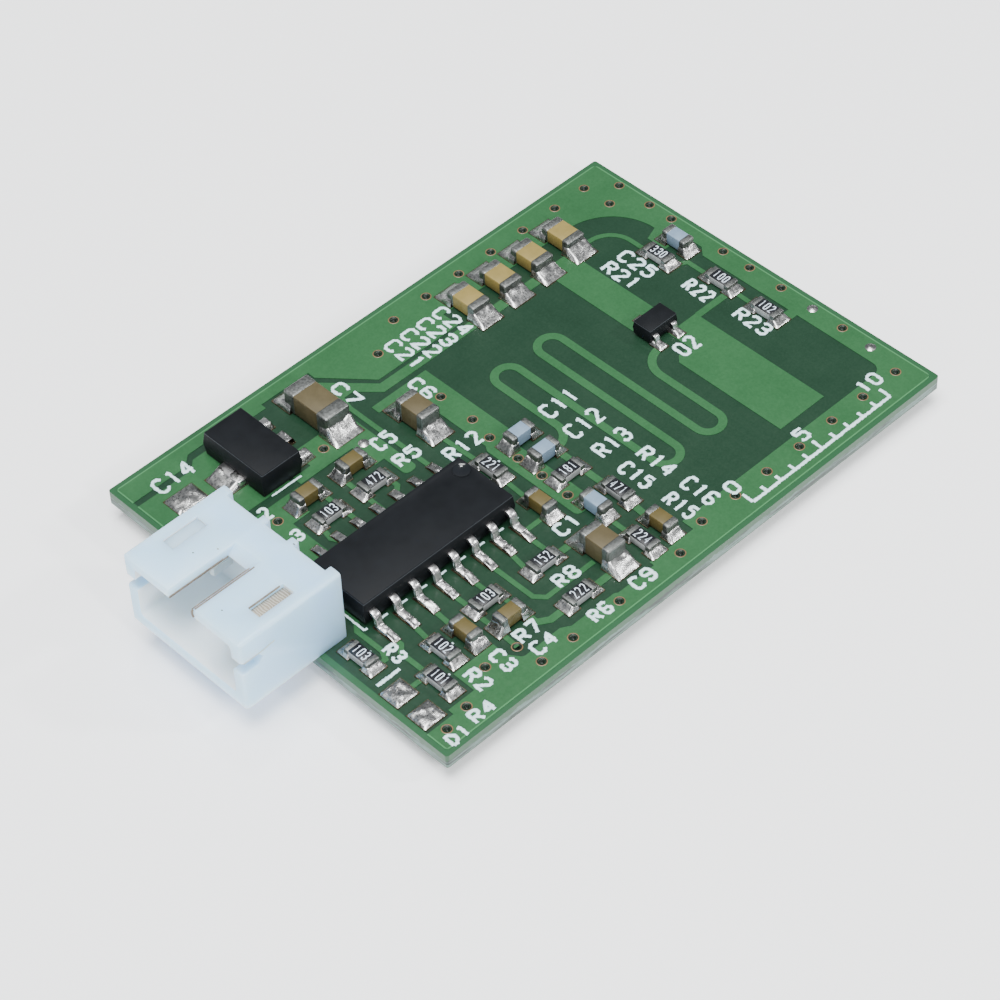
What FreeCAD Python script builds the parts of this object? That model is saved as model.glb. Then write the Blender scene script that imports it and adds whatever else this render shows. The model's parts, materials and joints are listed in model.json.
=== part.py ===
import FreeCAD, Part
import math
import os

import Sketcher

# A microwave radar sensor board: a thin green circuit board that carries a meander line and a
# copper patch as its aerial, a sixteen-lead detector chip, a regulator, a transistor, small
# chip capacitors and resistors, and a white side-entry socket for a three-wire lead.
# The origin is the middle of the board's underside. +X runs towards the aerial end, +Z is up.

doc = FreeCAD.newDocument("radar_sensor_board")

# Every size that can be set by itself, in millimetres, with angles in degrees.
size = {
    # the bare board and its copper
    "board_length": 34.0,
    "board_width": 24.0,
    "board_thickness": 0.8,
    "board_corner_radius": 0.15,
    "copper_thickness": 0.035,
    "copper_margin": 0.28,
    "pad_thickness": 0.06,
    "via_drill": 0.3,
    "track_width": 0.28,
    "wide_track_width": 0.4,
    # the aerial side
    "meander_width": 0.45,
    "meander_pitch": 1.524,
    "strip_width": 2.0,
    "patch_width": 3.18,
    "patch_length": 8.7,
    "patch_chamfer": 0.35,
    # chip resistors and capacitors
    "small_chip_length": 1.6,
    "small_chip_width": 0.8,
    "small_chip_band": 0.35,
    "resistor_height": 0.45,
    "small_capacitor_height": 0.8,
    "medium_chip_length": 2.0,
    "medium_chip_width": 1.25,
    "medium_chip_band": 0.5,
    "low_capacitor_height": 0.85,
    "tall_capacitor_height": 1.25,
    "large_chip_length": 3.2,
    "large_chip_width": 1.6,
    "large_chip_band": 0.7,
    "large_capacitor_height": 1.3,
    "band_rise": 0.02,
    "small_pad_length": 0.8,
    "small_pad_reach": 0.4,
    "medium_pad_length": 1.25,
    "medium_pad_reach": 0.85,
    "large_pad_length": 1.4,
    "large_pad_reach": 0.86,
    "pad_side_reach": 0.14,
    # the detector chip with its gull-wing leads
    "detector_end": 0.505,
    "detector_width": 3.9,
    "detector_height": 1.4,
    "detector_standoff": 0.12,
    "moulding_draft": 7.0,
    "dimple_radius": 0.45,
    "dimple_depth": 0.08,
    "lead_pitch": 1.27,
    "lead_width": 0.42,
    "lead_thickness": 0.2,
    "lead_shoulder": 0.32,
    "lead_foot": 0.62,
    "lead_span": 6.0,
    "lead_bend_radius": 0.2,
    "lead_inside_body": 0.4,
    "lead_pad_length": 1.5,
    "lead_pad_width": 0.48,
    "lead_pad_toe": 0.65,
    # the three-lead voltage regulator with its wide tab
    "regulator_length": 4.5,
    "regulator_width": 2.6,
    "regulator_height": 1.5,
    "regulator_lead_pitch": 1.5,
    "regulator_lead_width": 0.42,
    "regulator_lead_thickness": 0.38,
    "regulator_lead_reach": 0.95,
    "regulator_tab_width": 1.65,
    "regulator_tab_reach": 0.45,
    "regulator_pad_width": 0.85,
    "regulator_pad_length": 1.1,
    "regulator_pad_toe": 0.15,
    "tab_pad_width": 1.75,
    "tab_pad_length": 1.7,
    "tab_pad_toe": 0.75,
    # the transistor that feeds the aerial
    "transistor_length": 2.0,
    "transistor_width": 1.25,
    "transistor_height": 0.85,
    "transistor_standoff": 0.06,
    "transistor_lead_spacing": 1.3,
    "transistor_lead_width": 0.32,
    "transistor_lead_thickness": 0.13,
    "transistor_lead_span": 2.15,
    "transistor_pad_width": 0.62,
    "transistor_pad_length": 0.85,
    "transistor_pad_toe": 0.25,
    "transistor_lead_shoulder": 0.1,
    "transistor_lead_foot": 0.26,
    "transistor_bend_radius": 0.05,
    "transistor_lead_inside": 0.25,
    # the pads left open for a light sensor and for the input capacitor
    "open_pad_width": 1.4,
    "open_pad_height": 1.3,
    "open_pad_pitch": 1.85,
    "input_pad_length": 1.85,
    "input_pad_width": 1.3,
    # the socket for the three-wire lead
    "contact_count": 3,
    "contact_pitch": 2.0,
    "contact_size": 0.5,
    "contact_setback": 0.9,
    "contact_tip_depth": 3.2,
    "contact_tail": 1.05,
    "contact_bend_radius": 0.25,
    "contact_point": 0.12,
    "contact_drill": 0.85,
    "contact_slot_clearance": 0.06,
    "socket_overhang": 4.45,
    "socket_depth": 6.2,
    "socket_height": 4.4,
    "socket_end": 2.1,
    "socket_side_wall": 0.7,
    "socket_side_clearance": 0.73,
    "socket_floor": 0.65,
    "socket_roof": 0.55,
    "socket_back_wall": 1.75,
    "socket_edge_radius": 0.18,
    "key_slot_width": 1.7,
    "key_slot_length": 3.6,
    "key_slot_ramp": 0.55,
    "window_length": 2.1,
    "window_width": 0.76,
    "window_from_front": 1.85,
    "notch_height": 0.75,
    "notch_depth": 1.0,
    "notch_drop": 1.3,
    "rear_recess": 0.36,
    "rear_ear": 0.68,
    "rear_rib_width": 0.45,
    "mask_opening_radius": 0.92,
    "mask_depth": 0.03,
    "joint_radius": 0.8,
    "joint_height": 0.75,
    "joint_waist": 0.4,
}

sheet = doc.addObject("Spreadsheet::Sheet", "sizes")
for row, (word, value) in enumerate(size.items(), start=1):
    sheet.set("A%d" % row, word)
    sheet.set("B%d" % row, repr(value))
    sheet.setAlias("B%d" % row, word)
doc.recompute()

# The layout was read off a board of this length and width. Places on it are spread over the
# board as it is, so parts keep their own sizes and their share of the board.
LAYOUT_LENGTH = 34.0
LAYOUT_WIDTH = 24.0

half_length = size["board_length"] / 2
half_width = size["board_width"] / 2
grow_x = size["board_length"] / LAYOUT_LENGTH
grow_y = size["board_width"] / LAYOUT_WIDTH
board_top = size["board_thickness"]
pad_top = board_top + size["pad_thickness"]

DETECTOR_PLACE = (-9.38, -1.75)
REGULATOR_PLACE = (-10.8, 8.2)
TRANSISTOR_PLACE = (9.62, 0.5)
SOCKET_PLACE_Y = 0.66

# Each chip part has a kind, a place, and the way it lies.
CHIP_PARTS = {
    "capacitor_01": ("small_capacitor", -7.72, 4.4, "x"),
    "capacitor_02": ("small_capacitor", -10.68, 4.4, "x"),
    "capacitor_03": ("tall_capacitor", -3.2, 4.45, "y"),
    "capacitor_04": ("large_capacitor", -6.4, 8.36, "y"),
    "capacitor_05": ("small_capacitor", -9.3, -8.2, "x"),
    "capacitor_06": ("small_capacitor", -11.4, -7.45, "y"),
    "capacitor_07": ("tall_capacitor", -3.25, -8.35, "y"),
    "capacitor_08": ("small_capacitor", -3.2, -4.15, "y"),
    "capacitor_09": ("small_capacitor", -0.66, -0.1, "x"),
    "capacitor_10": ("small_capacitor", -0.66, -1.8, "x"),
    "capacitor_11": ("small_capacitor", -1.4, -6.1, "y"),
    "capacitor_12": ("small_capacitor", -0.05, -9.15, "y"),
    "capacitor_13": ("low_capacitor", 4.3, 8.6, "y"),
    "capacitor_14": ("low_capacitor", 6.58, 8.6, "y"),
    "capacitor_15": ("low_capacitor", 8.87, 8.6, "y"),
    "capacitor_16": ("low_capacitor", 11.15, 8.6, "y"),
    "capacitor_17": ("small_capacitor", 15.1, 4.1, "y"),
    "resistor_01": ("resistor", -15.72, -4.97, "y"),
    "resistor_02": ("resistor", -7.73, 2.8, "x"),
    "resistor_03": ("resistor", -10.68, 2.8, "x"),
    "resistor_04": ("resistor", -3.08, -0.62, "y"),
    "resistor_05": ("resistor", -12.78, -7.4, "y"),
    "resistor_06": ("resistor", -9.3, -6.6, "x"),
    "resistor_07": ("resistor", -6.02, -9.53, "x"),
    "resistor_08": ("resistor", -14.2, -8.65, "y"),
    "resistor_09": ("resistor", -5.72, -6.83, "x"),
    "resistor_10": ("resistor", -0.7, -3.5, "x"),
    "resistor_11": ("resistor", -1.42, -9.25, "y"),
    "resistor_12": ("resistor", 0.1, -6.15, "y"),
    "resistor_13": ("resistor", 13.68, 4.1, "y"),
    "resistor_14": ("resistor", 14.5, 0.45, "y"),
    "resistor_15": ("resistor", 14.45, -2.75, "y"),
}

# The size family of each kind, and the value that holds its height.
CHIP_KINDS = {
    "resistor": ("small", "resistor_height"),
    "small_capacitor": ("small", "small_capacitor_height"),
    "low_capacitor": ("medium", "low_capacitor_height"),
    "tall_capacitor": ("medium", "tall_capacitor_height"),
    "large_capacitor": ("large", "large_capacitor_height"),
}

# Plated holes that stitch the copper on top to the copper below.
VIA_PLACES = (
    [(0.95, 10.7), (3.32, 10.78), (5.68, 10.8), (8.0, 10.8), (10.35, 10.8), (12.74, 10.8)]
    + [(14.95, 10.8), (16.4, 9.6), (15.0, 8.95), (16.38, 7.35), (16.36, 5.75), (16.36, 2.05)]
    + [(16.38, 0.2), (16.36, -2.0), (16.3, -4.2), (16.26, -6.25), (16.18, -8.2), (15.7, -10.26)]
    + [(13.24, -10.25), (10.94, -10.25), (8.51, -10.3), (6.16, -10.3), (3.92, -10.3), (1.55, -10.3)]
    + [(-12.08, -9.42), (-10.19, -9.6), (-14.32, -10.5), (-15.86, -10.82), (-10.02, -11.05)]
    + [(-7.98, -11.06), (-4.85, -11.03), (-0.66, -10.98), (-1.6, -2.62), (-1.66, -4.45)]
    + [(-1.58, -0.95), (-1.3, 9.45), (-7.76, 6.44), (-12.6, 4.4), (-1.24, 4.9), (-1.26, 2.6)]
    + [(-1.55, 1.08), (-6.12, 5.3)]
)


def spot(x, y):
    """A place of the layout on the board as it is."""
    return (x * grow_x, y * grow_y)


# Drawing helpers


def new_body(name):
    body = doc.addObject("PartDesign::Body", name)
    body.Label = name
    body.AllowCompound = True
    return body


def sketch_on(body, role, name, offset_x=0.0, offset_y=0.0, offset_z=0.0, lift=None):
    """A sketch on one of the body's own planes, moved in that plane's axes."""
    sketch = body.newObject("Sketcher::SketchObject", name)
    plane = next(item for item in body.Origin.OriginFeatures if item.Role == role)
    sketch.AttachmentSupport = [(plane, "")]
    sketch.MapMode = "FlatFace"
    sketch.AttachmentOffset = FreeCAD.Placement(
        FreeCAD.Vector(offset_x, offset_y, offset_z), FreeCAD.Rotation()
    )
    if lift:
        sketch.setExpression("AttachmentOffset.Base.z", lift)
    return sketch


def draw(sketch, corners):
    """A closed outline through corners, each (x, y) or (x, y, radius)."""
    points = [FreeCAD.Vector(c[0], c[1], 0) for c in corners]
    radii = [c[2] if len(c) > 2 else 0.0 for c in corners]
    count = len(points)
    starts, ends, arcs = [], [], []
    for i in range(count):
        here, before, after = points[i], points[i - 1], points[(i + 1) % count]
        way_in = (here - before).normalize()
        way_out = (after - here).normalize()
        cross = way_in.x * way_out.y - way_in.y * way_out.x
        if radii[i] <= 0 or abs(cross) < 1e-6:
            starts.append(here)
            ends.append(here)
            arcs.append(None)
            continue
        turn = math.atan2(cross, way_in.dot(way_out))
        run = radii[i] * math.tan(abs(turn) / 2)
        side = 1 if turn > 0 else -1
        first = here - way_in * run
        last = here + way_out * run
        centre = first + FreeCAD.Vector(-way_in.y, way_in.x, 0) * (side * radii[i])
        starts.append(first)
        ends.append(last)
        arcs.append((centre, radii[i], first, last, side))
    for i in range(count):
        if arcs[i]:
            centre, radius, first, last, side = arcs[i]
            if side < 0:
                first, last = last, first
            begin = math.atan2(first.y - centre.y, first.x - centre.x)
            finish = math.atan2(last.y - centre.y, last.x - centre.x)
            if finish < begin:
                finish += 2 * math.pi
            circle = Part.Circle(centre, FreeCAD.Vector(0, 0, 1), radius)
            sketch.addGeometry(Part.ArcOfCircle(circle, begin, finish), False)
        line_start, line_end = ends[i], starts[(i + 1) % count]
        if (line_end - line_start).Length > 1e-6:
            sketch.addGeometry(Part.LineSegment(line_start, line_end), False)


def both_sides(path, width):
    """The outline of a strip of one width along a path of (x, y) or (x, y, radius) points."""
    half = width / 2
    points = [FreeCAD.Vector(p[0], p[1], 0) for p in path]
    radii = [p[2] if len(p) > 2 else 0.0 for p in path]
    left, right = [], []
    for i, here in enumerate(points):
        way_in = (here - points[i - 1]).normalize() if i else None
        way_out = (points[i + 1] - here).normalize() if i < len(points) - 1 else None
        way_in = way_in or way_out
        way_out = way_out or way_in
        normal_in = FreeCAD.Vector(-way_in.y, way_in.x, 0)
        normal_out = FreeCAD.Vector(-way_out.y, way_out.x, 0)
        mitre = (normal_in + normal_out) * (half / (1 + normal_in.dot(normal_out)))
        bend = way_in.x * way_out.y - way_in.y * way_out.x
        inner = max(radii[i] - half, 0.0)
        outer = radii[i] + half if radii[i] else 0.0
        near, far = here + mitre, here - mitre
        left.append((near.x, near.y, inner if bend > 0 else outer))
        right.append((far.x, far.y, outer if bend > 0 else inner))
    return left + right[::-1]


def rectangle(sketch, width, height, centre_x="0", centre_y="0", tag="box"):
    """A rectangle held by constraints, its sizes and middle bound to expressions."""
    corners = [(-1, -1), (1, -1), (1, 1), (-1, 1)]
    first = sketch.GeometryCount
    for i in range(4):
        a, b = corners[i], corners[(i + 1) % 4]
        line = Part.LineSegment(FreeCAD.Vector(a[0], a[1], 0), FreeCAD.Vector(b[0], b[1], 0))
        sketch.addGeometry(line, False)
    for i in range(4):
        here, after = first + i, first + (i + 1) % 4
        sketch.addConstraint(Sketcher.Constraint("Coincident", here, 2, after, 1))
        sketch.addConstraint(Sketcher.Constraint("Horizontal" if i % 2 == 0 else "Vertical", here))
    held = [
        (Sketcher.Constraint("DistanceX", first, 1, first, 2, 2.0), "width", width),
        (Sketcher.Constraint("DistanceY", first + 1, 1, first + 1, 2, 2.0), "height", height),
        (Sketcher.Constraint("DistanceX", -1, 1, first, 2, 1.0), "right", "(%s) + (%s) / 2" % (centre_x, width)),
        (Sketcher.Constraint("DistanceY", -1, 1, first + 2, 1, 1.0), "top", "(%s) + (%s) / 2" % (centre_y, height)),
    ]
    for constraint, word, rule in held:
        index = sketch.addConstraint(constraint)
        sketch.renameConstraint(index, tag + "_" + word)
        sketch.setExpression("Constraints." + tag + "_" + word, rule)


def circle(sketch, x, y, radius):
    sketch.addGeometry(
        Part.Circle(FreeCAD.Vector(x, y, 0), FreeCAD.Vector(0, 0, 1), radius), False
    )


def light_hole(sketch, x, y, radius, flats=6):
    """A round hole drawn with flats, because many repeats of it are kept light."""
    reach = radius / math.cos(math.pi / flats)
    angles = [2 * math.pi * (k + 0.5) / flats for k in range(flats)]
    draw(sketch, [(x + reach * math.cos(a), y + reach * math.sin(a)) for a in angles])


def pad(body, sketch, name, length, both_ways=False, taper=None):
    feature = body.newObject("PartDesign::Pad", name)
    feature.Profile = sketch
    feature.setExpression("Length", length)
    feature.Midplane = both_ways
    if taper:
        feature.setExpression("TaperAngle", taper)
    return feature


def pocket(body, sketch, name, length=None, reverse=False, both_ways=False):
    """A cut against the sketch's own direction, or with it when reversed."""
    feature = body.newObject("PartDesign::Pocket", name)
    feature.Profile = sketch
    feature.Reversed = reverse
    feature.Midplane = both_ways
    if length is None:
        feature.Type = "ThroughAll"
    else:
        feature.setExpression("Length", length)
    return feature


def edges_where(feature, test):
    """Names of the feature's edges whose two ends both pass the test."""
    doc.recompute()
    names = []
    for i, edge in enumerate(feature.Shape.Edges, start=1):
        ends = [v.Point for v in edge.Vertexes]
        if len(ends) == 2 and all(test(p) for p in ends):
            names.append("Edge%d" % i)
    return names


def near(a, b):
    return abs(a - b) < 1e-4


def box(name, length, width, height, x="0", y="0", z="0"):
    """A plain block whose sizes and corner are expressions."""
    block = doc.addObject("Part::Box", name)
    for word, rule in (("Length", length), ("Width", width), ("Height", height)):
        block.setExpression(word, rule)
    for axis, rule in (("x", x), ("y", y), ("z", z)):
        block.setExpression("Placement.Base." + axis, rule)
    return block


# The socket's main places, which the board's holes share

socket_front = -half_length - size["socket_overhang"]
socket_rear = socket_front + size["socket_depth"]
socket_middle = spot(0, SOCKET_PLACE_Y)[1]
contact_x = socket_rear - size["contact_setback"]
contact_span = (size["contact_count"] - 1) * size["contact_pitch"]
contact_ys = [
    socket_middle + contact_span / 2 - i * size["contact_pitch"]
    for i in range(size["contact_count"])
]
socket_half = contact_span / 2 + size["socket_end"]

# The first resistor stands beside the socket's wall, so its place follows the socket.
beside_socket = socket_middle - socket_half - size["socket_side_clearance"] - size["small_chip_length"] / 2
CHIP_PARTS["resistor_01"] = ("resistor", -15.72, beside_socket / grow_y, "y")

# The bare board

board_body = new_body("circuit_board")
outline = sketch_on(board_body, "XY_Plane", "board_outline")
rectangle(outline, "sizes.board_length", "sizes.board_width", tag="board")
blank = pad(board_body, outline, "board_blank", "sizes.board_thickness")
corner_edges = edges_where(
    blank, lambda p: near(abs(p.x), half_length) and near(abs(p.y), half_width)
)
upright = [
    name
    for name in corner_edges
    if abs(blank.Shape.getElement(name).tangentAt(0).z) > 0.9
]
rounding = board_body.newObject("PartDesign::Fillet", "board_corners")
rounding.Base = (blank, upright)
rounding.setExpression("Radius", "sizes.board_corner_radius")

drills = sketch_on(board_body, "XY_Plane", "drill_plan")
for place in VIA_PLACES:
    light_hole(drills, *spot(*place), size["via_drill"] / 2)
for y in contact_ys:
    circle(drills, contact_x, y, size["contact_drill"] / 2)
pocket(board_body, drills, "drilled_holes", reverse=True)

openings = sketch_on(board_body, "XY_Plane", "mask_openings")
for y in contact_ys:
    light_hole(openings, contact_x, y, size["mask_opening_radius"], flats=16)
pocket(board_body, openings, "openings_in_mask", "sizes.mask_depth", reverse=True)

# Chip resistors and capacitors: a ceramic block between two plated ends, on two pads

pads = []


def solder_pad(name, length, width, x, y):
    """A tinned pad by its middle; all four values are expressions."""
    pads.append(
        box(
            name,
            length,
            width,
            "sizes.pad_thickness",
            "(%s) - (%s) / 2" % (x, length),
            "(%s) - (%s) / 2" % (y, width),
            "sizes.board_thickness",
        )
    )


def place_x(x):
    return "%r * sizes.board_length / %r" % (x, LAYOUT_LENGTH)


def place_y(y):
    return "%r * sizes.board_width / %r" % (y, LAYOUT_WIDTH)


def chip(name, kind, x, y, way):
    family, height = CHIP_KINDS[kind]
    length = "sizes.%s_chip_length" % family
    width = "sizes.%s_chip_width" % family
    band = "sizes.%s_chip_band" % family
    rise = "sizes.band_rise"
    core = box(
        name + "_ceramic",
        "%s - 2 * %s" % (length, band),
        "%s - 2 * %s" % (width, rise),
        "sizes.%s - 2 * %s" % (height, rise),
        "-(%s) / 2 + %s" % (length, band),
        "-(%s) / 2 + %s" % (width, rise),
        rise,
    )
    ends = [
        box(name + "_end_a", band, width, "sizes." + height, "-(%s) / 2" % length, "-(%s) / 2" % width),
        box(
            name + "_end_b",
            band,
            width,
            "sizes." + height,
            "(%s) / 2 - %s" % (length, band),
            "-(%s) / 2" % width,
        ),
    ]
    whole = doc.addObject("Part::MultiFuse", name)
    whole.Label = name
    whole.Shapes = [core] + ends
    turn = 90 if way == "y" else 0
    whole.Placement = FreeCAD.Placement(
        FreeCAD.Vector(0, 0, 0), FreeCAD.Rotation(FreeCAD.Vector(0, 0, 1), turn)
    )
    whole.setExpression("Placement.Base.x", place_x(x))
    whole.setExpression("Placement.Base.y", place_y(y))
    whole.setExpression("Placement.Base.z", "sizes.board_thickness + sizes.pad_thickness")

    pad_length = "sizes.%s_pad_length" % family
    pad_width = "(%s + 2 * sizes.pad_side_reach)" % width
    shift = "(%s / 2 + sizes.%s_pad_reach - %s / 2)" % (length, family, pad_length)
    for sign, tag in (("-", "_pad_a"), ("+", "_pad_b")):
        if way == "x":
            solder_pad(name + tag, pad_length, pad_width, "%s %s %s" % (place_x(x), sign, shift), place_y(y))
        else:
            solder_pad(name + tag, pad_width, pad_length, place_x(x), "%s %s %s" % (place_y(y), sign, shift))
    return whole


def chip_pad(name, side):
    """The middle of a chip's pad, on its low (-1) or high (+1) side."""
    kind, x, y, way = CHIP_PARTS[name]
    family = CHIP_KINDS[kind][0]
    reach = size[family + "_chip_length"] / 2 + size[family + "_pad_reach"]
    shift = side * (reach - size[family + "_pad_length"] / 2)
    px, py = spot(x, y)
    return (px + shift, py) if way == "x" else (px, py + shift)


for chip_name, details in CHIP_PARTS.items():
    chip(chip_name, *details)

# The detector chip


def moulded_body(name, place, length, width, height, standoff, draft="sizes.moulding_draft"):
    """A moulded package: one outline at mid height, drawn in towards its top and its bottom."""
    body = new_body(name)
    for tag, upwards in (("upper", True), ("lower", False)):
        sketch = sketch_on(
            body,
            "XY_Plane",
            name + "_" + tag,
            lift="sizes.board_thickness + sizes.pad_thickness + %s + %s / 2" % (standoff, height),
        )
        rectangle(sketch, length, width, place_x(place[0]), place_y(place[1]), tag=tag)
        half = pad(body, sketch, name + "_" + tag + "_half", height + " / 2", taper="-" + draft)
        half.Reversed = not upwards
    return body


def gull_wing(name, x, y, side, half_body, half_span, centre_z, foot_z, width, thick, shoulder, foot, bend, inside, count=1, pitch=None):
    """Leads bent from flat strip: out of the body, down beside it, and out again as a foot."""
    body = new_body(name)
    sketch = sketch_on(body, "YZ_Plane", name + "_profile", offset_z=x)
    radius = bend + thick / 2
    path = [
        (y + side * (half_body - inside), centre_z),
        (y + side * (half_body + shoulder), centre_z, radius),
        (y + side * (half_span - foot), foot_z + thick / 2, radius),
        (y + side * half_span, foot_z + thick / 2),
    ]
    draw(sketch, both_sides(path, thick))
    lead = pad(body, sketch, name + "_strip", width, both_ways=True)
    if count > 1:
        row = body.newObject("PartDesign::LinearPattern", name + "_row")
        row.Originals = [lead]
        axis = next(item for item in body.Origin.OriginFeatures if item.Role == "X_Axis")
        row.Direction = (axis, [""])
        row.setExpression("Length", "%s * %d" % (pitch, count - 1))
        row.Occurrences = count
        body.Tip = row
    return body


lead_count = 8
detector_x, detector_y = spot(*DETECTOR_PLACE)
first_lead_x = detector_x - size["lead_pitch"] * (lead_count - 1) / 2
detector_right = detector_x + size["lead_pitch"] * (lead_count - 1) / 2 + size["detector_end"]
detector_moulding = moulded_body(
    "detector_moulding",
    DETECTOR_PLACE,
    "(sizes.lead_pitch * %d + 2 * sizes.detector_end)" % (lead_count - 1),
    "sizes.detector_width",
    "sizes.detector_height",
    "sizes.detector_standoff",
)
detector_top = pad_top + size["detector_standoff"] + size["detector_height"]
dimple_sketch = sketch_on(detector_moulding, "XY_Plane", "dimple_outline", offset_z=detector_top)
circle(
    dimple_sketch,
    detector_right - 0.63,
    detector_y + size["detector_width"] / 2 - 0.85,
    size["dimple_radius"],
)
pocket(detector_moulding, dimple_sketch, "dimple", "sizes.dimple_depth")

detector_rows = []
for tag, side in (("front", -1), ("back", 1)):
    detector_rows.append(
        gull_wing(
            "detector_leads_" + tag,
            first_lead_x,
            detector_y,
            side,
            size["detector_width"] / 2,
            size["lead_span"] / 2,
            pad_top + size["detector_standoff"] + size["detector_height"] / 2,
            pad_top,
            "sizes.lead_width",
            size["lead_thickness"],
            size["lead_shoulder"],
            size["lead_foot"],
            size["lead_bend_radius"],
            size["lead_inside_body"],
            count=lead_count,
            pitch="sizes.lead_pitch",
        )
    )
    for i in range(lead_count):
        solder_pad(
            "detector_pad_%s_%d" % (tag, i + 1),
            "sizes.lead_pad_width",
            "sizes.lead_pad_length",
            "%s + (%r) * sizes.lead_pitch" % (place_x(DETECTOR_PLACE[0]), i - (lead_count - 1) / 2),
            "%s %s (sizes.lead_span / 2 + sizes.lead_pad_toe - sizes.lead_pad_length / 2)"
            % (place_y(DETECTOR_PLACE[1]), "-" if side < 0 else "+"),
        )


def lead_pad(number, side):
    """The middle of the detector's pad, counted from the socket end."""
    reach = size["lead_span"] / 2 + size["lead_pad_toe"] - size["lead_pad_length"] / 2
    return (first_lead_x + (number - 1) * size["lead_pitch"], detector_y + side * reach)


# The regulator: its middle lead runs through under the body and leaves as the wide tab

regulator_moulding = moulded_body(
    "regulator_moulding",
    REGULATOR_PLACE,
    "sizes.regulator_width",
    "sizes.regulator_length",
    "sizes.regulator_height",
    "0",
)
regulator_x, regulator_y = spot(*REGULATOR_PLACE)
regulator_leads = new_body("regulator_leads")
frame_sketch = sketch_on(
    regulator_leads, "XY_Plane", "lead_frame_plan", lift="sizes.board_thickness + sizes.pad_thickness"
)
right_end = regulator_x + size["regulator_width"] / 2 + size["regulator_lead_reach"]
left_end = regulator_x - size["regulator_width"] / 2 - size["regulator_tab_reach"]
half_lead = size["regulator_lead_width"] / 2
half_tab = size["regulator_tab_width"] / 2
draw(
    frame_sketch,
    [
        (right_end, regulator_y + half_lead),
        (regulator_x + 0.2, regulator_y + half_lead),
        (regulator_x + 0.2, regulator_y + half_tab, 0.2),
        (left_end, regulator_y + half_tab, 0.25),
        (left_end, regulator_y - half_tab, 0.25),
        (regulator_x + 0.2, regulator_y - half_tab, 0.2),
        (regulator_x + 0.2, regulator_y - half_lead),
        (right_end, regulator_y - half_lead),
    ],
)
for side in (1, -1):
    outer_y = regulator_y + side * size["regulator_lead_pitch"]
    inner_end = regulator_x + size["regulator_width"] / 2 - size["lead_inside_body"]
    draw(
        frame_sketch,
        [
            (inner_end, outer_y - half_lead),
            (right_end, outer_y - half_lead),
            (right_end, outer_y + half_lead),
            (inner_end, outer_y + half_lead),
        ],
    )
pad(regulator_leads, frame_sketch, "lead_frame", "sizes.regulator_lead_thickness")
for i in (-1, 0, 1):
    solder_pad(
        "regulator_pad_%d" % (i + 2),
        "sizes.regulator_pad_length",
        "sizes.regulator_pad_width",
        "%s + sizes.regulator_width / 2 + sizes.regulator_lead_reach + sizes.regulator_pad_toe - sizes.regulator_pad_length / 2"
        % place_x(REGULATOR_PLACE[0]),
        "%s + (%d) * sizes.regulator_lead_pitch" % (place_y(REGULATOR_PLACE[1]), i),
    )
solder_pad(
    "regulator_tab_pad",
    "sizes.tab_pad_length",
    "sizes.tab_pad_width",
    "%s - sizes.regulator_width / 2 - sizes.regulator_tab_reach - sizes.tab_pad_toe + sizes.tab_pad_length / 2"
    % place_x(REGULATOR_PLACE[0]),
    place_y(REGULATOR_PLACE[1]),
)

# The transistor: two leads towards the patch and one towards the strip

transistor_moulding = moulded_body(
    "transistor_moulding",
    TRANSISTOR_PLACE,
    "sizes.transistor_length",
    "sizes.transistor_width",
    "sizes.transistor_height",
    "sizes.transistor_standoff",
)
transistor_x, transistor_y = spot(*TRANSISTOR_PLACE)
transistor_legs = []
LEG_PLACES = (("left", -0.5, -1), ("right", 0.5, -1), ("far", 0.0, 1))
for tag, share, side in LEG_PLACES:
    transistor_legs.append(
        gull_wing(
            "transistor_leg_" + tag,
            transistor_x + share * size["transistor_lead_spacing"],
            transistor_y,
            side,
            size["transistor_width"] / 2,
            size["transistor_lead_span"] / 2,
            pad_top + size["transistor_standoff"] + size["transistor_height"] / 2,
            pad_top,
            "sizes.transistor_lead_width",
            size["transistor_lead_thickness"],
            size["transistor_lead_shoulder"],
            size["transistor_lead_foot"],
            size["transistor_bend_radius"],
            size["transistor_lead_inside"],
        )
    )
    solder_pad(
        "transistor_pad_" + tag,
        "sizes.transistor_pad_width",
        "sizes.transistor_pad_length",
        "%s + (%r) * sizes.transistor_lead_spacing" % (place_x(TRANSISTOR_PLACE[0]), share),
        "%s + (%d) * (sizes.transistor_lead_span / 2 + sizes.transistor_pad_toe - sizes.transistor_pad_length / 2)"
        % (place_y(TRANSISTOR_PLACE[1]), side),
    )

transistor_leads = doc.addObject("Part::Compound", "transistor_leads")
transistor_leads.Label = "transistor_leads"
transistor_leads.Links = transistor_legs


def seat_leads(name, moulding, leads):
    """The moulding as it closes round its leads."""
    tool = leads
    if isinstance(leads, list):
        tool = doc.addObject("Part::Compound", name + "_lead_space")
        tool.Links = leads
    seated = doc.addObject("Part::Cut", name)
    seated.Label = name
    seated.Base = moulding
    seated.Tool = tool
    return seated


seat_leads("detector_body", detector_moulding, detector_rows)
seat_leads("regulator_body", regulator_moulding, regulator_leads)
seat_leads("transistor_body", transistor_moulding, transistor_leads)

# Pads left open: two for a light sensor, one for the input capacitor beside the socket

for i in (0, 1):
    solder_pad(
        "light_sensor_pad_%d" % (i + 1),
        "sizes.open_pad_width",
        "sizes.open_pad_height",
        place_x(-15.95),
        "%s - %d * sizes.open_pad_pitch" % (place_y(-7.73), i),
    )
solder_pad("input_pad", "sizes.input_pad_length", "sizes.input_pad_width", place_x(-14.75), place_y(8.75))

# Copper on the top face, drawn as closed outlines at their places

all_pads = doc.addObject("Part::Compound", "solder_pads")
all_pads.Label = "solder_pads"
all_pads.Links = pads


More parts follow.
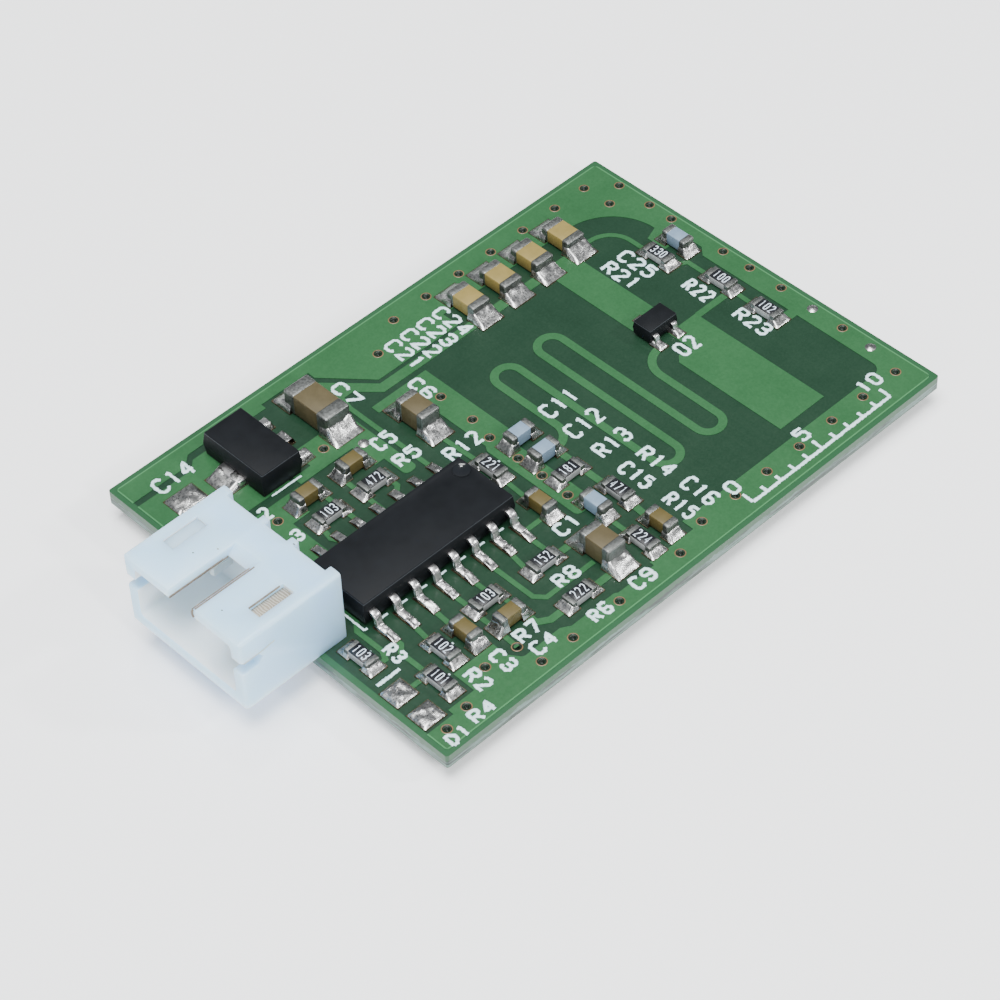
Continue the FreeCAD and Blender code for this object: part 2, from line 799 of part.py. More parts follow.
def copper(name, outlines):
    """One sheet of copper with its plated holes, let in round the solder pads."""
    body = new_body(name + "_sheet")
    sketch = sketch_on(body, "XY_Plane", name + "_plan", lift="sizes.board_thickness")
    for corners in outlines:
        draw(sketch, corners)
    pad(body, sketch, name + "_foil", "sizes.copper_thickness")
    holes = sketch_on(body, "XY_Plane", name + "_holes", offset_z=board_top - 0.1)
    for place in VIA_PLACES:
        light_hole(holes, *spot(*place), size["via_drill"] / 2)
    pocket(body, holes, name + "_drilled", "sizes.copper_thickness + 0.2", reverse=True)
    cut = doc.addObject("Part::Cut", name)
    cut.Label = name
    cut.Base = body
    cut.Tool = all_pads
    return cut


def region(*corners):
    """Corners of the layout on the board as it is."""
    return [(*spot(c[0], c[1]), *c[2:]) for c in corners]


margin = size["copper_margin"]
left_edge, right_edge = -half_length + margin, half_length - margin
low_edge, high_edge = -half_width + margin, half_width - margin


def at(x, y, *radius):
    return (*spot(x, y), *radius)


ground = [
    # the sheet that runs round the top edge, the aerial end and the front edge
    [
        (left_edge, high_edge, 0.2),
        (left_edge, at(0, 10.42)[1]),
        at(-13.35, 10.42),
        at(-12.7, 11.0),
        at(-9.9, 11.0),
        at(-9.5, 10.65),
        at(-7.85, 10.65),
        at(-7.85, 11.0),
        at(-4.7, 11.0),
        at(-4.7, 10.5),
        at(-2.55, 8.05),
        at(3.0, 8.05),
        at(3.0, 9.15),
        at(15.25, 9.15, 3.2),
        at(15.25, 5.9),
        at(14.4, 5.6),
        at(14.4, 4.35),
        at(15.85, 4.35),
        at(15.85, 3.1),
        at(15.4, 2.6),
        at(15.4, -3.35),
        at(14.6, -3.35),
        at(14.6, -3.95),
        at(15.4, -3.95),
        at(15.4, -9.62, 0.6),
        at(0.9, -9.62),
        at(0.9, -10.35),
        at(-2.1, -10.35),
        at(-2.1, -10.62),
        at(-4.5, -10.62),
        at(-4.7, -10.5),
        at(-7.5, -10.5),
        at(-8.0, -10.2),
        at(-10.4, -10.25, 0.3),
        at(-10.85, -9.6),
        at(-10.85, -8.67),
        at(-13.4, -8.67),
        at(-13.4, -10.05),
        at(-15.05, -10.05),
        at(-15.05, -10.4),
        (left_edge, at(0, -10.4)[1]),
        (left_edge, low_edge, 0.2),
        (right_edge, low_edge, 0.3),
        (right_edge, high_edge, 0.3),
    ],
    # the sheet down the middle, between the detector and the meander line
    region(
        (-4.15, 6.85),
        (-0.45, 6.85),
        (-0.45, 0.85),
        (-0.95, 0.55),
        (-0.95, -5.75, 0.3),
        (-2.3, -5.75, 0.3),
        (-2.3, 0.5),
        (-2.1, 0.8),
        (-2.1, 6.3),
        (-4.15, 6.3),
    ),
    # the island of the regulator's lower lead
    region(
        (-10.15, 6.05),
        (-9.0, 6.05),
        (-9.0, 7.35),
        (-5.35, 7.35),
        (-5.35, 2.2, 0.3),
        (-6.15, 2.2, 0.3),
        (-6.15, 3.8),
        (-6.75, 3.8),
        (-6.75, 5.45),
        (-10.15, 5.45),
    ),
]
copper("ground_copper", ground)

supply = [
    # the input island below the socket's edge, out to the regulator's tab
    [
        (left_edge, at(0, 10.05)[1]),
        (left_edge, at(0, 5.95)[1]),
        at(-10.4, 5.95),
        at(-10.4, 10.55),
        at(-12.75, 10.55),
        at(-13.3, 10.05),
    ],
    # the socket's middle contact, out to the detector
    [
        (left_edge, at(0, 5.4)[1]),
        (left_edge, at(0, 1.0)[1]),
        at(-12.2, 1.0),
        at(-12.2, 3.75),
        at(-11.1, 3.75),
        at(-11.1, 5.0),
        at(-10.4, 5.0),
        at(-10.4, 5.4),
    ],
    # the rail from the large capacitor to the row of four
    [
        at(-5.6, 10.35),
        at(-5.05, 10.35),
        at(-2.7, 7.8),
        at(12.0, 7.8),
        at(12.0, 7.2),
        at(-2.95, 7.2),
        at(-4.05, 8.35),
        at(-4.62, 8.35),
        (lead_pad(8, 1)[0] + size["track_width"] / 2, at(0, 7.6)[1]),
        (lead_pad(8, 1)[0] + size["track_width"] / 2, lead_pad(8, 1)[1]),
        (lead_pad(8, 1)[0] - size["track_width"] / 2, lead_pad(8, 1)[1]),
        (lead_pad(8, 1)[0] - size["track_width"] / 2, at(0, 7.7)[1]),
        at(-5.2, 8.35),
        at(-5.6, 8.35),
    ],
]
copper("supply_copper", supply)


# Signal tracks: each runs from pad to pad through its corners


def low(name):
    return chip_pad(name, -1)


def high(name):
    return chip_pad(name, 1)


def under(start, y):
    return (start[0], at(0, y)[1])


patch_left, patch_low = spot(8.76, -8.84)
patch_right = patch_left + size["patch_width"]
patch_top = patch_low + size["patch_length"]
track = size["track_width"]
wide = size["wide_track_width"]
front = {number: lead_pad(number, -1) for number in range(1, 9)}
back = {number: lead_pad(number, 1) for number in range(1, 9)}
front_row, back_row = front[1][1], back[1][1]
tracks = [
    ([front[1], (front[1][0], front_row - 0.95), (high("resistor_08")[0], front_row - 1.35), high("resistor_08")], track),
    ([high("resistor_08"), (high("resistor_08")[0] - 0.3, at(0, -7.85)[1]), at(-15.3, -7.85)], track),
    ([front[2], high("resistor_05")], track),
    ([front[3], high("capacitor_06")], track),
    ([front[4], (front[4][0], low("resistor_06")[1])], track),
    ([low("resistor_06"), low("capacitor_05")], track),
    ([low("capacitor_05"), at(-10.19, -9.6)], track),
    ([front[5], (front[5][0], high("resistor_06")[1])], track),
    ([high("resistor_06"), high("capacitor_05")], track),
    ([high("capacitor_05"), under(high("capacitor_05"), -9.15), (at(-7.9, 0)[0], low("resistor_07")[1]), low("resistor_07")], wide),
    ([front[6], under(front[6], -7.9), at(-7.05, -8.4), at(-3.9, -8.4)], track),
    ([front[7], low("resistor_09")], track),
    ([front[8], (front[8][0], high("resistor_09")[1])], track),
    ([high("resistor_09"), (low("capacitor_11")[0], high("resistor_09")[1])], wide),
    ([high("resistor_07"), (low("capacitor_07")[0], high("resistor_07")[1])], wide),
    ([low("resistor_04"), high("capacitor_08")], track),
    ([(low("capacitor_08")[0], front[8][1]), (front[8][0], front[8][1])], track),
    ([low("resistor_01"), (low("resistor_01")[0] + 0.75, low("resistor_01")[1]), at(-14.72, -5.3), at(-14.72, -3.55), at(-14.35, -3.1), at(-14.35, 0.5)], track),
    ([low("resistor_03"), (low("resistor_03")[0], back_row + 1.05), (back[3][0] - 0.3, back_row + 0.55), back[3]], track),
    ([high("capacitor_02"), high("resistor_03"), (high("resistor_03")[0], back_row + 0.4), back[4]], track),
    ([low("capacitor_01"), low("resistor_02"), (low("resistor_02")[0], back_row + 0.2), back[5]], track),
    ([high("resistor_02"), (high("resistor_02")[0], back_row + 0.85), (back[6][0] + 0.1, back_row + 0.45), back[6]], track),
    ([low("capacitor_03"), high("resistor_04")], track),
    ([high("resistor_10"), high("resistor_12")], wide),
    ([low("resistor_12"), high("capacitor_12")], wide),
    ([low("capacitor_11"), high("resistor_11")], track),
    ([high("capacitor_10"), high("resistor_10")], wide),
    ([at(12.0, 7.65), (high("resistor_13")[0], at(0, 7.65)[1], 1.5), high("resistor_13")], track),
    ([low("resistor_13"), (high("resistor_14")[0], low("resistor_13")[1] - 0.5), high("resistor_14")], track),
    ([low("capacitor_17"), (high("resistor_14")[0] + 0.1, low("capacitor_17")[1])], track),
    ([low("resistor_14"), high("resistor_15")], track),
    ([(patch_right, at(0, -0.3)[1]), (low("resistor_14")[0], at(0, -0.3)[1])], wide),
]


def joined_tracks(name, runs):
    """Tracks as flat strips, fused where they meet, with the pads let in."""
    strips = []
    for i, (path, width) in enumerate(runs, start=1):
        body = new_body("%s_%02d" % (name, i))
        sketch = sketch_on(body, "XY_Plane", "%s_%02d_plan" % (name, i), lift="sizes.board_thickness")
        draw(sketch, both_sides(path, width))
        pad(body, sketch, "%s_%02d_foil" % (name, i), "sizes.copper_thickness")
        strips.append(body)
    whole = doc.addObject("Part::MultiFuse", name + "_joined")
    whole.Shapes = strips
    cut = doc.addObject("Part::Cut", name)
    cut.Label = name
    cut.Base = whole
    cut.Tool = all_pads
    return cut


joined_tracks("signal_tracks", tracks)

# The aerial side: the meander line from the capacitor to the transistor, the strip, the patch

pitch = size["meander_pitch"]
bend = pitch / 2
meander_left, meander_top = spot(1.37, 4.2)
meander_low = spot(0, -6.62)[1]
capacitor_pad = high("capacitor_10")
base_pad_x = transistor_x - size["transistor_lead_spacing"] / 2
base_pad_y = transistor_y - size["transistor_lead_span"] / 2
meander_path = [capacitor_pad, (meander_left, capacitor_pad[1], meander_left - capacitor_pad[0] - 0.1)]
runs = 5
for i in range(runs):
    x = meander_left + i * pitch
    end = meander_top if i % 2 == 0 else meander_low
    if i < runs - 1:
        meander_path.append((x, end, bend))
        meander_path.append((x + pitch, end, bend))
last_x = meander_left + (runs - 1) * pitch
meander_path.append((last_x, base_pad_y, base_pad_x - last_x - 0.15))
meander_path.append((base_pad_x, base_pad_y))

notch_left = transistor_x + size["transistor_lead_spacing"] / 2 - 0.35
notch_low = patch_top - 1.5
strip_left = spot(8.8, 0)[0]
strip_low = transistor_y + size["transistor_width"] / 2 + 0.15
aerial = [
    both_sides(meander_path, size["meander_width"]),
    [
        (patch_left, patch_low),
        (patch_right, patch_low),
        (patch_right, patch_top),
        (notch_left, patch_top),
        (notch_left, notch_low),
        (patch_left + size["patch_chamfer"], notch_low),
        (patch_left, notch_low - size["patch_chamfer"]),
    ],
    [
        (strip_left, strip_low),
        (strip_left + size["strip_width"], strip_low),
        (strip_left + size["strip_width"], at(0, 7.2)[1]),
        (strip_left, at(0, 7.2)[1]),
    ],
]
copper("aerial_copper", aerial)

# The socket's contacts: square pins that run back through the housing and bend down


def contact(number, y):
    body = new_body("contact_pin_%d" % number)
    sketch = sketch_on(body, "XZ_Plane", "contact_%d_profile" % number, offset_z=-y)
    tip = socket_front + size["contact_tip_depth"]
    low_end = -size["contact_tail"]
    radius = size["contact_bend_radius"] + size["contact_size"] / 2
    path = [(tip, contact_z), (contact_x, contact_z, radius), (contact_x, low_end)]
    draw(sketch, both_sides(path, size["contact_size"]))
    bar = pad(body, sketch, "contact_%d_bar" % number, "sizes.contact_size", both_ways=True)
    ends = edges_where(bar, lambda p: near(p.x, tip)) + edges_where(bar, lambda p: near(p.z, low_end))
    point = body.newObject("PartDesign::Chamfer", "contact_%d_points" % number)
    point.Base = (bar, ends)
    point.setExpression("Size", "sizes.contact_point")
    return body


mouth_low = board_top + size["socket_floor"]
mouth_high = board_top + size["socket_height"] - size["socket_roof"]
contact_z = (mouth_low + mouth_high) / 2
contacts = [contact(i, y) for i, y in enumerate(contact_ys, start=1)]

# The solder cones under the board, one round each contact's tail

for number, y in enumerate(contact_ys, start=1):
    cone = new_body("pin_solder_%d" % number)
    sketch = sketch_on(cone, "XZ_Plane", "cone_%d_profile" % number, offset_x=contact_x, offset_z=-y)
    foot, waist = size["joint_radius"], size["joint_waist"]
    top, tip = size["mask_depth"], -size["joint_height"]
    draw(
        sketch,
        [
            (0, top),
            (0, tip),
            (waist, tip),
            (foot, top - 0.06),
            (foot, top),
        ],
    )
    spin = cone.newObject("PartDesign::Revolution", "cone_%d" % number)
    spin.Profile = sketch
    spin.ReferenceAxis = (sketch, ["V_Axis"])
    spin.Angle = 360
    tail = sketch_on(cone, "XY_Plane", "cone_%d_tail_hole" % number, offset_z=2.0)
    half_pin = size["contact_size"] / 2
    draw(
        tail,
        [
            (contact_x - half_pin, y - half_pin),
            (contact_x + half_pin, y - half_pin),
            (contact_x + half_pin, y + half_pin),
            (contact_x - half_pin, y + half_pin),
        ],
    )
    pocket(cone, tail, "cone_%d_round_tail" % number)

# The socket's moulded housing

housing = new_body("socket_moulding")
ground_plan = sketch_on(housing, "XY_Plane", "socket_plan", lift="sizes.board_thickness")
near_y, far_y = socket_middle - socket_half, socket_middle + socket_half
ear, recess, half_rib = size["rear_ear"], size["rear_recess"], size["rear_rib_width"] / 2
ears_and_ribs = [(near_y, near_y + ear)]
for i in range(size["contact_count"] - 1, 0, -1):
    rib_y = contact_ys[i] + size["contact_pitch"] / 2
    ears_and_ribs.append((rib_y - half_rib, rib_y + half_rib))
ears_and_ribs.append((far_y - ear, far_y))
rear_line = []
for begin, finish in ears_and_ribs:
    rear_line += [(socket_rear - recess, begin), (socket_rear, begin)]
    rear_line += [(socket_rear, finish), (socket_rear - recess, finish)]
draw(ground_plan, [(socket_front, near_y)] + rear_line[1:-1] + [(socket_front, far_y)])
block = pad(housing, ground_plan, "socket_block", "sizes.socket_height")
socket_top = board_top + size["socket_height"]


def on_outer_rim(p):
    return near(p.y, near_y) or near(p.y, far_y)


rim = edges_where(block, lambda p: on_outer_rim(p) and (near(p.z, socket_top) or near(p.x, socket_front)))
sides = [
    name
    for name in rim
    if abs(block.Shape.getElement(name).tangentAt(0).y) < 0.5
]
soft = housing.newObject("PartDesign::Fillet", "socket_soft_edges")
soft.Base = (block, sides)
soft.setExpression("Radius", "sizes.socket_edge_radius")

mouth = sketch_on(housing, "YZ_Plane", "mouth_outline", offset_z=socket_front)
inner = socket_half - size["socket_side_wall"]
draw(
    mouth,
    [
        (socket_middle - inner, mouth_low, 0.25),
        (socket_middle + inner, mouth_low, 0.25),
        (socket_middle + inner, mouth_high, 0.25),
        (socket_middle - inner, mouth_high, 0.25),
    ],
)
pocket(housing, mouth, "mouth", "sizes.socket_depth - sizes.socket_back_wall", reverse=True)

key = sketch_on(housing, "XZ_Plane", "key_slot_profile", offset_z=-socket_middle)
slot_end = socket_front + size["key_slot_length"]
draw(
    key,
    [
        (socket_front - 1, mouth_high - 0.3),
        (slot_end, mouth_high - 0.3),
        (slot_end, mouth_high),
        (slot_end + size["key_slot_ramp"], socket_top),
        (slot_end + size["key_slot_ramp"], socket_top + 0.5),
        (socket_front - 1, socket_top + 0.5),
    ],
)
pocket(housing, key, "key_slot", "sizes.key_slot_width", both_ways=True)

windows = sketch_on(housing, "XY_Plane", "window_plan", offset_z=socket_top)
window_start = socket_front + size["window_from_front"]
window_end = window_start + size["window_length"]
for side in (1, -1):
    outer = socket_middle + side * inner
    within = outer - side * size["window_width"]
    draw(windows, [(window_start, within), (window_end, within), (window_end, outer), (window_start, outer)])
pocket(housing, windows, "roof_windows", "sizes.socket_roof + 0.3")

notch = sketch_on(housing, "XZ_Plane", "side_notch_profile", offset_z=-socket_middle)
notch_high = socket_top - size["notch_drop"]
notch_deep = notch_high - size["notch_height"]
notch_end = socket_front + size["notch_depth"]
draw(
    notch,
    [
        (socket_front - 1, notch_deep),
        (notch_end, notch_deep),
        (notch_end + 0.3, notch_deep + size["notch_height"] / 2),
        (notch_end, notch_high),
        (socket_front - 1, notch_high),
    ],
)
pocket(housing, notch, "side_notches", "20", both_ways=True)

rear_slots = sketch_on(housing, "YZ_Plane", "rear_slot_outline", offset_z=socket_rear)
half_slot = size["contact_size"] / 2 + size["contact_slot_clearance"]
for y in contact_ys:
    draw(
        rear_slots,
        [
            (y - half_slot, board_top - 0.5),
            (y + half_slot, board_top - 0.5),
            (y + half_slot, contact_z + half_slot, 0.1),
            (y - half_slot, contact_z + half_slot, 0.1),
        ],
    )
pocket(
    housing,
    rear_slots,
    "rear_slots",
    "sizes.contact_setback + sizes.contact_size / 2 + sizes.contact_slot_clearance",
)
seat_leads("connector_housing", housing, contacts)

# Build, check every object and write one file for each piece

doc.recompute()
nodes = ["circuit_board", "ground_copper", "supply_copper", "signal_tracks", "aerial_copper", "solder_pads"]
nodes += ["connector_housing"]
nodes += ["contact_pin_%d" % i for i in range(1, size["contact_count"] + 1)]
nodes += ["pin_solder_%d" % i for i in range(1, size["contact_count"] + 1)]
nodes += list(CHIP_PARTS)
nodes += ["detector_body", "detector_leads_front", "detector_leads_back"]
nodes += ["regulator_body", "regulator_leads", "transistor_body", "transistor_leads"]

for item in doc.Objects:
    if "Invalid" in item.State or "Error" in item.State:
        raise RuntimeError("%s did not build: %s" % (item.Name, item.State))
for name in nodes:
    shape = doc.getObject(name).Shape
    if shape.isNull() or not shape.isValid() or not shape.Solids:
        raise RuntimeError("%s has no sound solid" % name)

os.makedirs("parts", exist_ok=True)
for name in nodes:
    doc.getObject(name).Shape.exportStep("parts/%s.step" % name)
print("%d pieces written" % len(nodes))
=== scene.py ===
# %% [markdown]
# # A microwave radar sensor board
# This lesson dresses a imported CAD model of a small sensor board: green solder mask over copper,
# chip parts with their solder, a sixteen-lead chip and a white nylon socket. The CAD holds every
# size, so each piece below reads its place from the frame and only adds what the eye looks for.

# %% Load the frame
import json
import math
import random

import bmesh
import bpy
from mathutils import Matrix, Vector, noise


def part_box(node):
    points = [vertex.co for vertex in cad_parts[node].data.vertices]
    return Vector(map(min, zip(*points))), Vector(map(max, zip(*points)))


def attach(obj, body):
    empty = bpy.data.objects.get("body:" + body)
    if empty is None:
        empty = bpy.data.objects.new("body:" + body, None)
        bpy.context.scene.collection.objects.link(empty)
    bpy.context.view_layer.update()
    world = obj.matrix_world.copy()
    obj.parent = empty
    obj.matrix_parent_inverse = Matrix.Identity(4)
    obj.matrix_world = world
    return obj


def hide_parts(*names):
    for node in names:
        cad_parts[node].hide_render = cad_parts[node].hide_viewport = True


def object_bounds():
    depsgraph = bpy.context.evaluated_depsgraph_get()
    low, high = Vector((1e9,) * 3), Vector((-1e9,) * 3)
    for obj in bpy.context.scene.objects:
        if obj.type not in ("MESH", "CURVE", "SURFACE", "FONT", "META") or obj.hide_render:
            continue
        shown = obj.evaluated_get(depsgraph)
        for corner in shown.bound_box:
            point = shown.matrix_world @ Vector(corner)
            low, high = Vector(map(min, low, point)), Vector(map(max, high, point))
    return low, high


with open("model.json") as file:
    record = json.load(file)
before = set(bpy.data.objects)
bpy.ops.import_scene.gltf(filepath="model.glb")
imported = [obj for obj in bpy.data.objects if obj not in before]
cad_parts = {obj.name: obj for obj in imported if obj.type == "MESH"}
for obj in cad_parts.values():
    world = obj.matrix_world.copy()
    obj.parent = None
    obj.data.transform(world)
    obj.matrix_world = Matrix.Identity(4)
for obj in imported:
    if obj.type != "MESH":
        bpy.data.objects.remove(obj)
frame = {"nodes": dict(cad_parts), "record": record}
nodes = frame["nodes"]
cad_low, cad_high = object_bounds()
MM = 0.001
random.seed(7)
print(len(nodes), "CAD nodes, box in mm", [round(v / MM, 2) for v in cad_high - cad_low])

# %% [markdown]
# ## The camera
# The photograph was taken with a long lens from about 160 mm, a little turned on its axis, and the
# board lies low in a larger picture that was cropped. A small lens shift gives that crop, which
# keeps the board's edges as parallel as they are in the photograph. Aiming the camera by a point
# and a roll is easier to read than a matrix of nine numbers.

# %% Camera
CAMERA_PLACE = Vector((-77.07, -81.95, 114.27)) * MM
CAMERA_AIM = Vector((-4.36, 1.59, 0.8)) * MM
CAMERA_ROLL = math.radians(-3.7)
SENSOR_WIDTH = 36.0
LENS = 116.49
LENS_SHIFT = (0.0586, -0.0376)


def new_object(name, data):
    """An object in the scene round some data."""
    made = bpy.data.objects.new(name, data)
    bpy.context.scene.collection.objects.link(made)
    return made


camera_data = bpy.data.cameras.new("photo_camera")
camera_data.sensor_width = SENSOR_WIDTH
camera_data.lens = LENS
camera_data.shift_x, camera_data.shift_y = LENS_SHIFT
camera_data.clip_start, camera_data.clip_end = 0.005, 5.0
camera = new_object("photo_camera", camera_data)
looking = (CAMERA_AIM - CAMERA_PLACE).to_track_quat("-Z", "Y").to_matrix().to_4x4()
camera.matrix_world = Matrix.Translation(CAMERA_PLACE) @ looking @ Matrix.Rotation(CAMERA_ROLL, 4, "Z")
bpy.context.scene.camera = camera
print("camera", round((CAMERA_AIM - CAMERA_PLACE).length / MM), "mm from the board")

# %% [markdown]
# ## Floor and light
# The photograph is a cut-out on white, lit by large soft lamps and by smaller ones that put bright
# dots on the solder. A pale floor just under the pin tails, a wide lamp above, a side lamp
# and three small lamps for the sparks give that. Metal only looks like metal with something darker
# to reflect, so the world stays a mid grey and the lamps do the work.

# %% Floor and light
FLOOR_DROP, FLOOR_SIZE = 0.02 * MM, 1.2


def mesh_of(form, name):
    """The mesh of a finished bmesh, with smooth faces."""
    for face in form.faces:
        face.smooth = True
    mesh = bpy.data.meshes.new(name)
    form.to_mesh(mesh)
    form.free()
    return mesh


form = bmesh.new()
bmesh.ops.create_grid(form, x_segments=1, y_segments=1, size=FLOOR_SIZE)
bmesh.ops.translate(form, verts=form.verts, vec=(0, 0, cad_low.z - FLOOR_DROP))
floor_mesh = mesh_of(form, "floor")
floor = new_object("floor", floor_mesh)


def lamp(name, place, size, watts, colour=(1, 1, 1)):
    """A round lamp in metres that looks at the board's middle."""
    data = bpy.data.lights.new(name, "AREA")
    data.shape = "DISK"
    data.size = size
    data.energy = watts
    data.color = colour
    made = new_object(name, data)
    made.location = Vector(place)
    made.rotation_euler = (-Vector(place)).to_track_quat("-Z", "Y").to_euler()


lamp("wide_lamp", (-0.10, -0.04, 0.50), 0.34, 5.6)
lamp("side_lamp", (-0.40, -0.16, 0.16), 0.2, 0.7, (0.96, 0.98, 1.0))
lamp("front_lamp", (-0.06, -0.34, 0.24), 0.04, 0.7)
lamp("spark_lamp", (0.22, -0.27, 0.25), 0.04, 0.7)
lamp("high_lamp", (0.085, 0.105, 0.40), 0.045, 0.3)

world = bpy.data.worlds.new("studio")
world.use_nodes = True
backdrop = world.node_tree.nodes["Background"]
backdrop.inputs["Color"].default_value = (0.86, 0.90, 0.95, 1)
backdrop.inputs["Strength"].default_value = 0.3
bpy.context.scene.world = world
print(len(bpy.data.lights), "lamps")

# %% [markdown]
# ## Shader groups that several finishes share
# Moulded plastic, ceramic, solder and mask all vary a little in shade and are never quite smooth.
# One group makes a soft mottle and one makes a fine surface height. Each finish then puts in its
# own sizes. Painting this by hand would need image files; noise on Object coordinates needs none
# and stays put from every side.

# %% Shader groups
def new_group(name, numbers_in, number_out):
    """A shader group with some numbers for inputs and one number for its output."""
    group = bpy.data.node_groups.new(name, "ShaderNodeTree")
    for word, value in numbers_in.items():
        socket = group.interface.new_socket(word, in_out="INPUT", socket_type="NodeSocketFloat")
        socket.default_value = value
    group.interface.new_socket(number_out, in_out="OUTPUT", socket_type="NodeSocketFloat")
    start = group.nodes.new("NodeGroupInput")
    end = group.nodes.new("NodeGroupOutput")
    return group, start, end


def fill(tree, socket, value):
    """Links a socket to another socket, or gives it a value."""
    if isinstance(value, bpy.types.NodeSocket):
        tree.links.new(value, socket)
    else:
        socket.default_value = value


def put(tree, made, **values):
    """Fills in some of a node's own settings and its sockets."""
    for word, value in values.items():
        if hasattr(made, word) and word not in made.inputs:
            setattr(made, word, value)
        else:
            fill(tree, made.inputs[word.replace("_", " ")], value)
    return made


def node(tree, kind, **values):
    """A new shader node, filled in."""
    return put(tree, tree.nodes.new(kind), **values)


def object_place(tree):
    """The place on the object, in metres, as one socket."""
    return tree.nodes.new("ShaderNodeTexCoord").outputs["Object"]


def maths(tree, operation, first, second=0.0):
    """One sum of two numbers or sockets. ABSOLUTE needs only the first."""
    made = node(tree, "ShaderNodeMath", operation=operation)
    for socket, value in zip(made.inputs, (first, second)):
        fill(tree, socket, value)
    return made.outputs[0]


# A cloudy value round one half. Size is the width of a cloud in millimetres.
mottle, start, end = new_group("soft_mottle", {"Size": 1.0, "Contrast": 1.0}, "Cloud")
clouds = node(
    mottle, "ShaderNodeTexNoise", Detail=4.0, Roughness=0.6, Vector=object_place(mottle),
    Scale=maths(mottle, "DIVIDE", 1 / MM, start.outputs["Size"]),
)
centred = maths(mottle, "SUBTRACT", clouds.outputs["Fac"], 0.5)
stretched = maths(mottle, "MULTIPLY", centred, start.outputs["Contrast"])
put(mottle, end, Cloud=maths(mottle, "ADD", stretched, 0.5))

# A rough height of two grains added. Size is the coarse one's in millimetres.
FINE_SHARE, FINE_TIMES = 0.4, 4.3
grain, start, end = new_group("surface_grain", {"Size": 0.1}, "Height")
scale = maths(grain, "DIVIDE", 1 / MM, start.outputs["Size"])
fine_scale = maths(grain, "MULTIPLY", scale, FINE_TIMES)
coarse = node(grain, "ShaderNodeTexNoise", Detail=2.0, Vector=object_place(grain), Scale=scale)
fine = node(grain, "ShaderNodeTexNoise", Detail=1.0, Vector=object_place(grain), Scale=fine_scale)
fine_height = maths(grain, "MULTIPLY", fine.outputs["Fac"], FINE_SHARE)
put(grain, end, Height=maths(grain, "ADD", coarse.outputs["Fac"], fine_height))
print(len(bpy.data.node_groups), "shader groups")

# %% [markdown]
# ## One recipe for the plain finishes
# Most finishes here are the same few steps with other numbers: two close shades mixed by the
# mottle, a roughness that wanders with it, and a bump from the grain. One function holds these
# steps, so each finish below is a line that can be compared with its neighbours.

# %% The finish recipe
def result_of(tree, group, **values):
    """What a shader group gives for some values of its inputs."""
    return node(tree, "ShaderNodeGroup", node_tree=group, **values).outputs[0]


def mix_colours(tree, factor, first, second):
    """The first colour where the factor is zero, the second where it is one."""
    first, second = ((*c, 1) if isinstance(c, tuple) else c for c in (first, second))
    mixed = node(tree, "ShaderNodeMix", data_type="RGBA", Factor=factor, A=first, B=second)
    return mixed.outputs["Result"]


def object_axes(tree):
    """The object's own X, Y and Z, in metres, as three sockets."""
    return tuple(node(tree, "ShaderNodeSeparateXYZ", Vector=object_place(tree)).outputs)


def repaint(tree, where, colour):
    """Lays another colour over the surface's present one where a mask is one."""
    surface = tree.nodes["Principled BSDF"]
    plain = surface.inputs["Base Color"].links[0].from_socket
    put(tree, surface, Base_Color=mix_colours(tree, where, plain, colour))


def spread(tree, factor, low, high):
    """The factor, from 0 to 1, laid out from low to high."""
    return node(tree, "ShaderNodeMapRange", To_Min=low, To_Max=high, Value=factor).outputs["Result"]


def finish(name, shades, rough, cloud=1.0, contrast=1.6, grain_size=0.1, bump=0.2, depth=0.01, **fixed):
    """A finish of two close shades. fixed are sockets of the surface that stay the same all over."""
    material = bpy.data.materials.new(name)
    material.use_nodes = True
    tree = material.node_tree
    surface = tree.nodes["Principled BSDF"]
    shade = result_of(tree, mottle, Size=cloud, Contrast=contrast)
    colour = mix_colours(tree, shade, *shades)
    put(tree, surface, Base_Color=colour, Roughness=spread(tree, shade, *rough), **fixed)
    if bump:
        height = result_of(tree, grain, Size=grain_size)
        raised = node(tree, "ShaderNodeBump", Strength=bump, Distance=depth * MM, Height=height)
        put(tree, surface, Normal=raised.outputs["Normal"])
    return material


# %% Plain finishes
solder = finish(
    "tin_solder", ((0.30, 0.303, 0.298), (0.50, 0.502, 0.492)), (0.20, 0.42),
    cloud=0.12, contrast=2.2, grain_size=0.11, bump=0.5, depth=0.014, Metallic=1.0,
)
tinned = finish(
    "tinned_lead", ((0.50, 0.50, 0.50), (0.76, 0.75, 0.74)), (0.22, 0.36),
    cloud=0.3, grain_size=0.14, bump=0.18, depth=0.008, Metallic=1.0,
)
contact_metal = finish(
    "pale_contact", ((0.62, 0.66, 0.66), (0.74, 0.78, 0.78)), (0.42, 0.55),
    cloud=0.3, grain_size=0.14, bump=0.15, depth=0.008, Metallic=1.0,
)
end_metal = finish(
    "plated_chip_end", ((0.125, 0.130, 0.125), (0.25, 0.262, 0.254)), (0.36, 0.56),
    cloud=0.13, contrast=2.2, grain_size=0.1, bump=0.4, depth=0.012, Metallic=1.0,
)
grey_ceramic = finish(
    "grey_ceramic", ((0.19, 0.20, 0.20), (0.31, 0.32, 0.32)), (0.45, 0.6),
    cloud=0.3, grain_size=0.05, bump=0.4, depth=0.006,
)
black_coat = finish(
    "black_glass_coat", ((0.0045, 0.005, 0.0065), (0.009, 0.010, 0.013)), (0.26, 0.4),
    cloud=0.6, grain_size=0.08, bump=0.2, depth=0.004,
)
printed_ink = finish(
    "white_ink", ((0.44, 0.64, 0.66), (0.68, 0.85, 0.87)), (0.5, 0.7),
    cloud=0.12, contrast=2.4, grain_size=0.06, bump=0.9, depth=0.012,
)
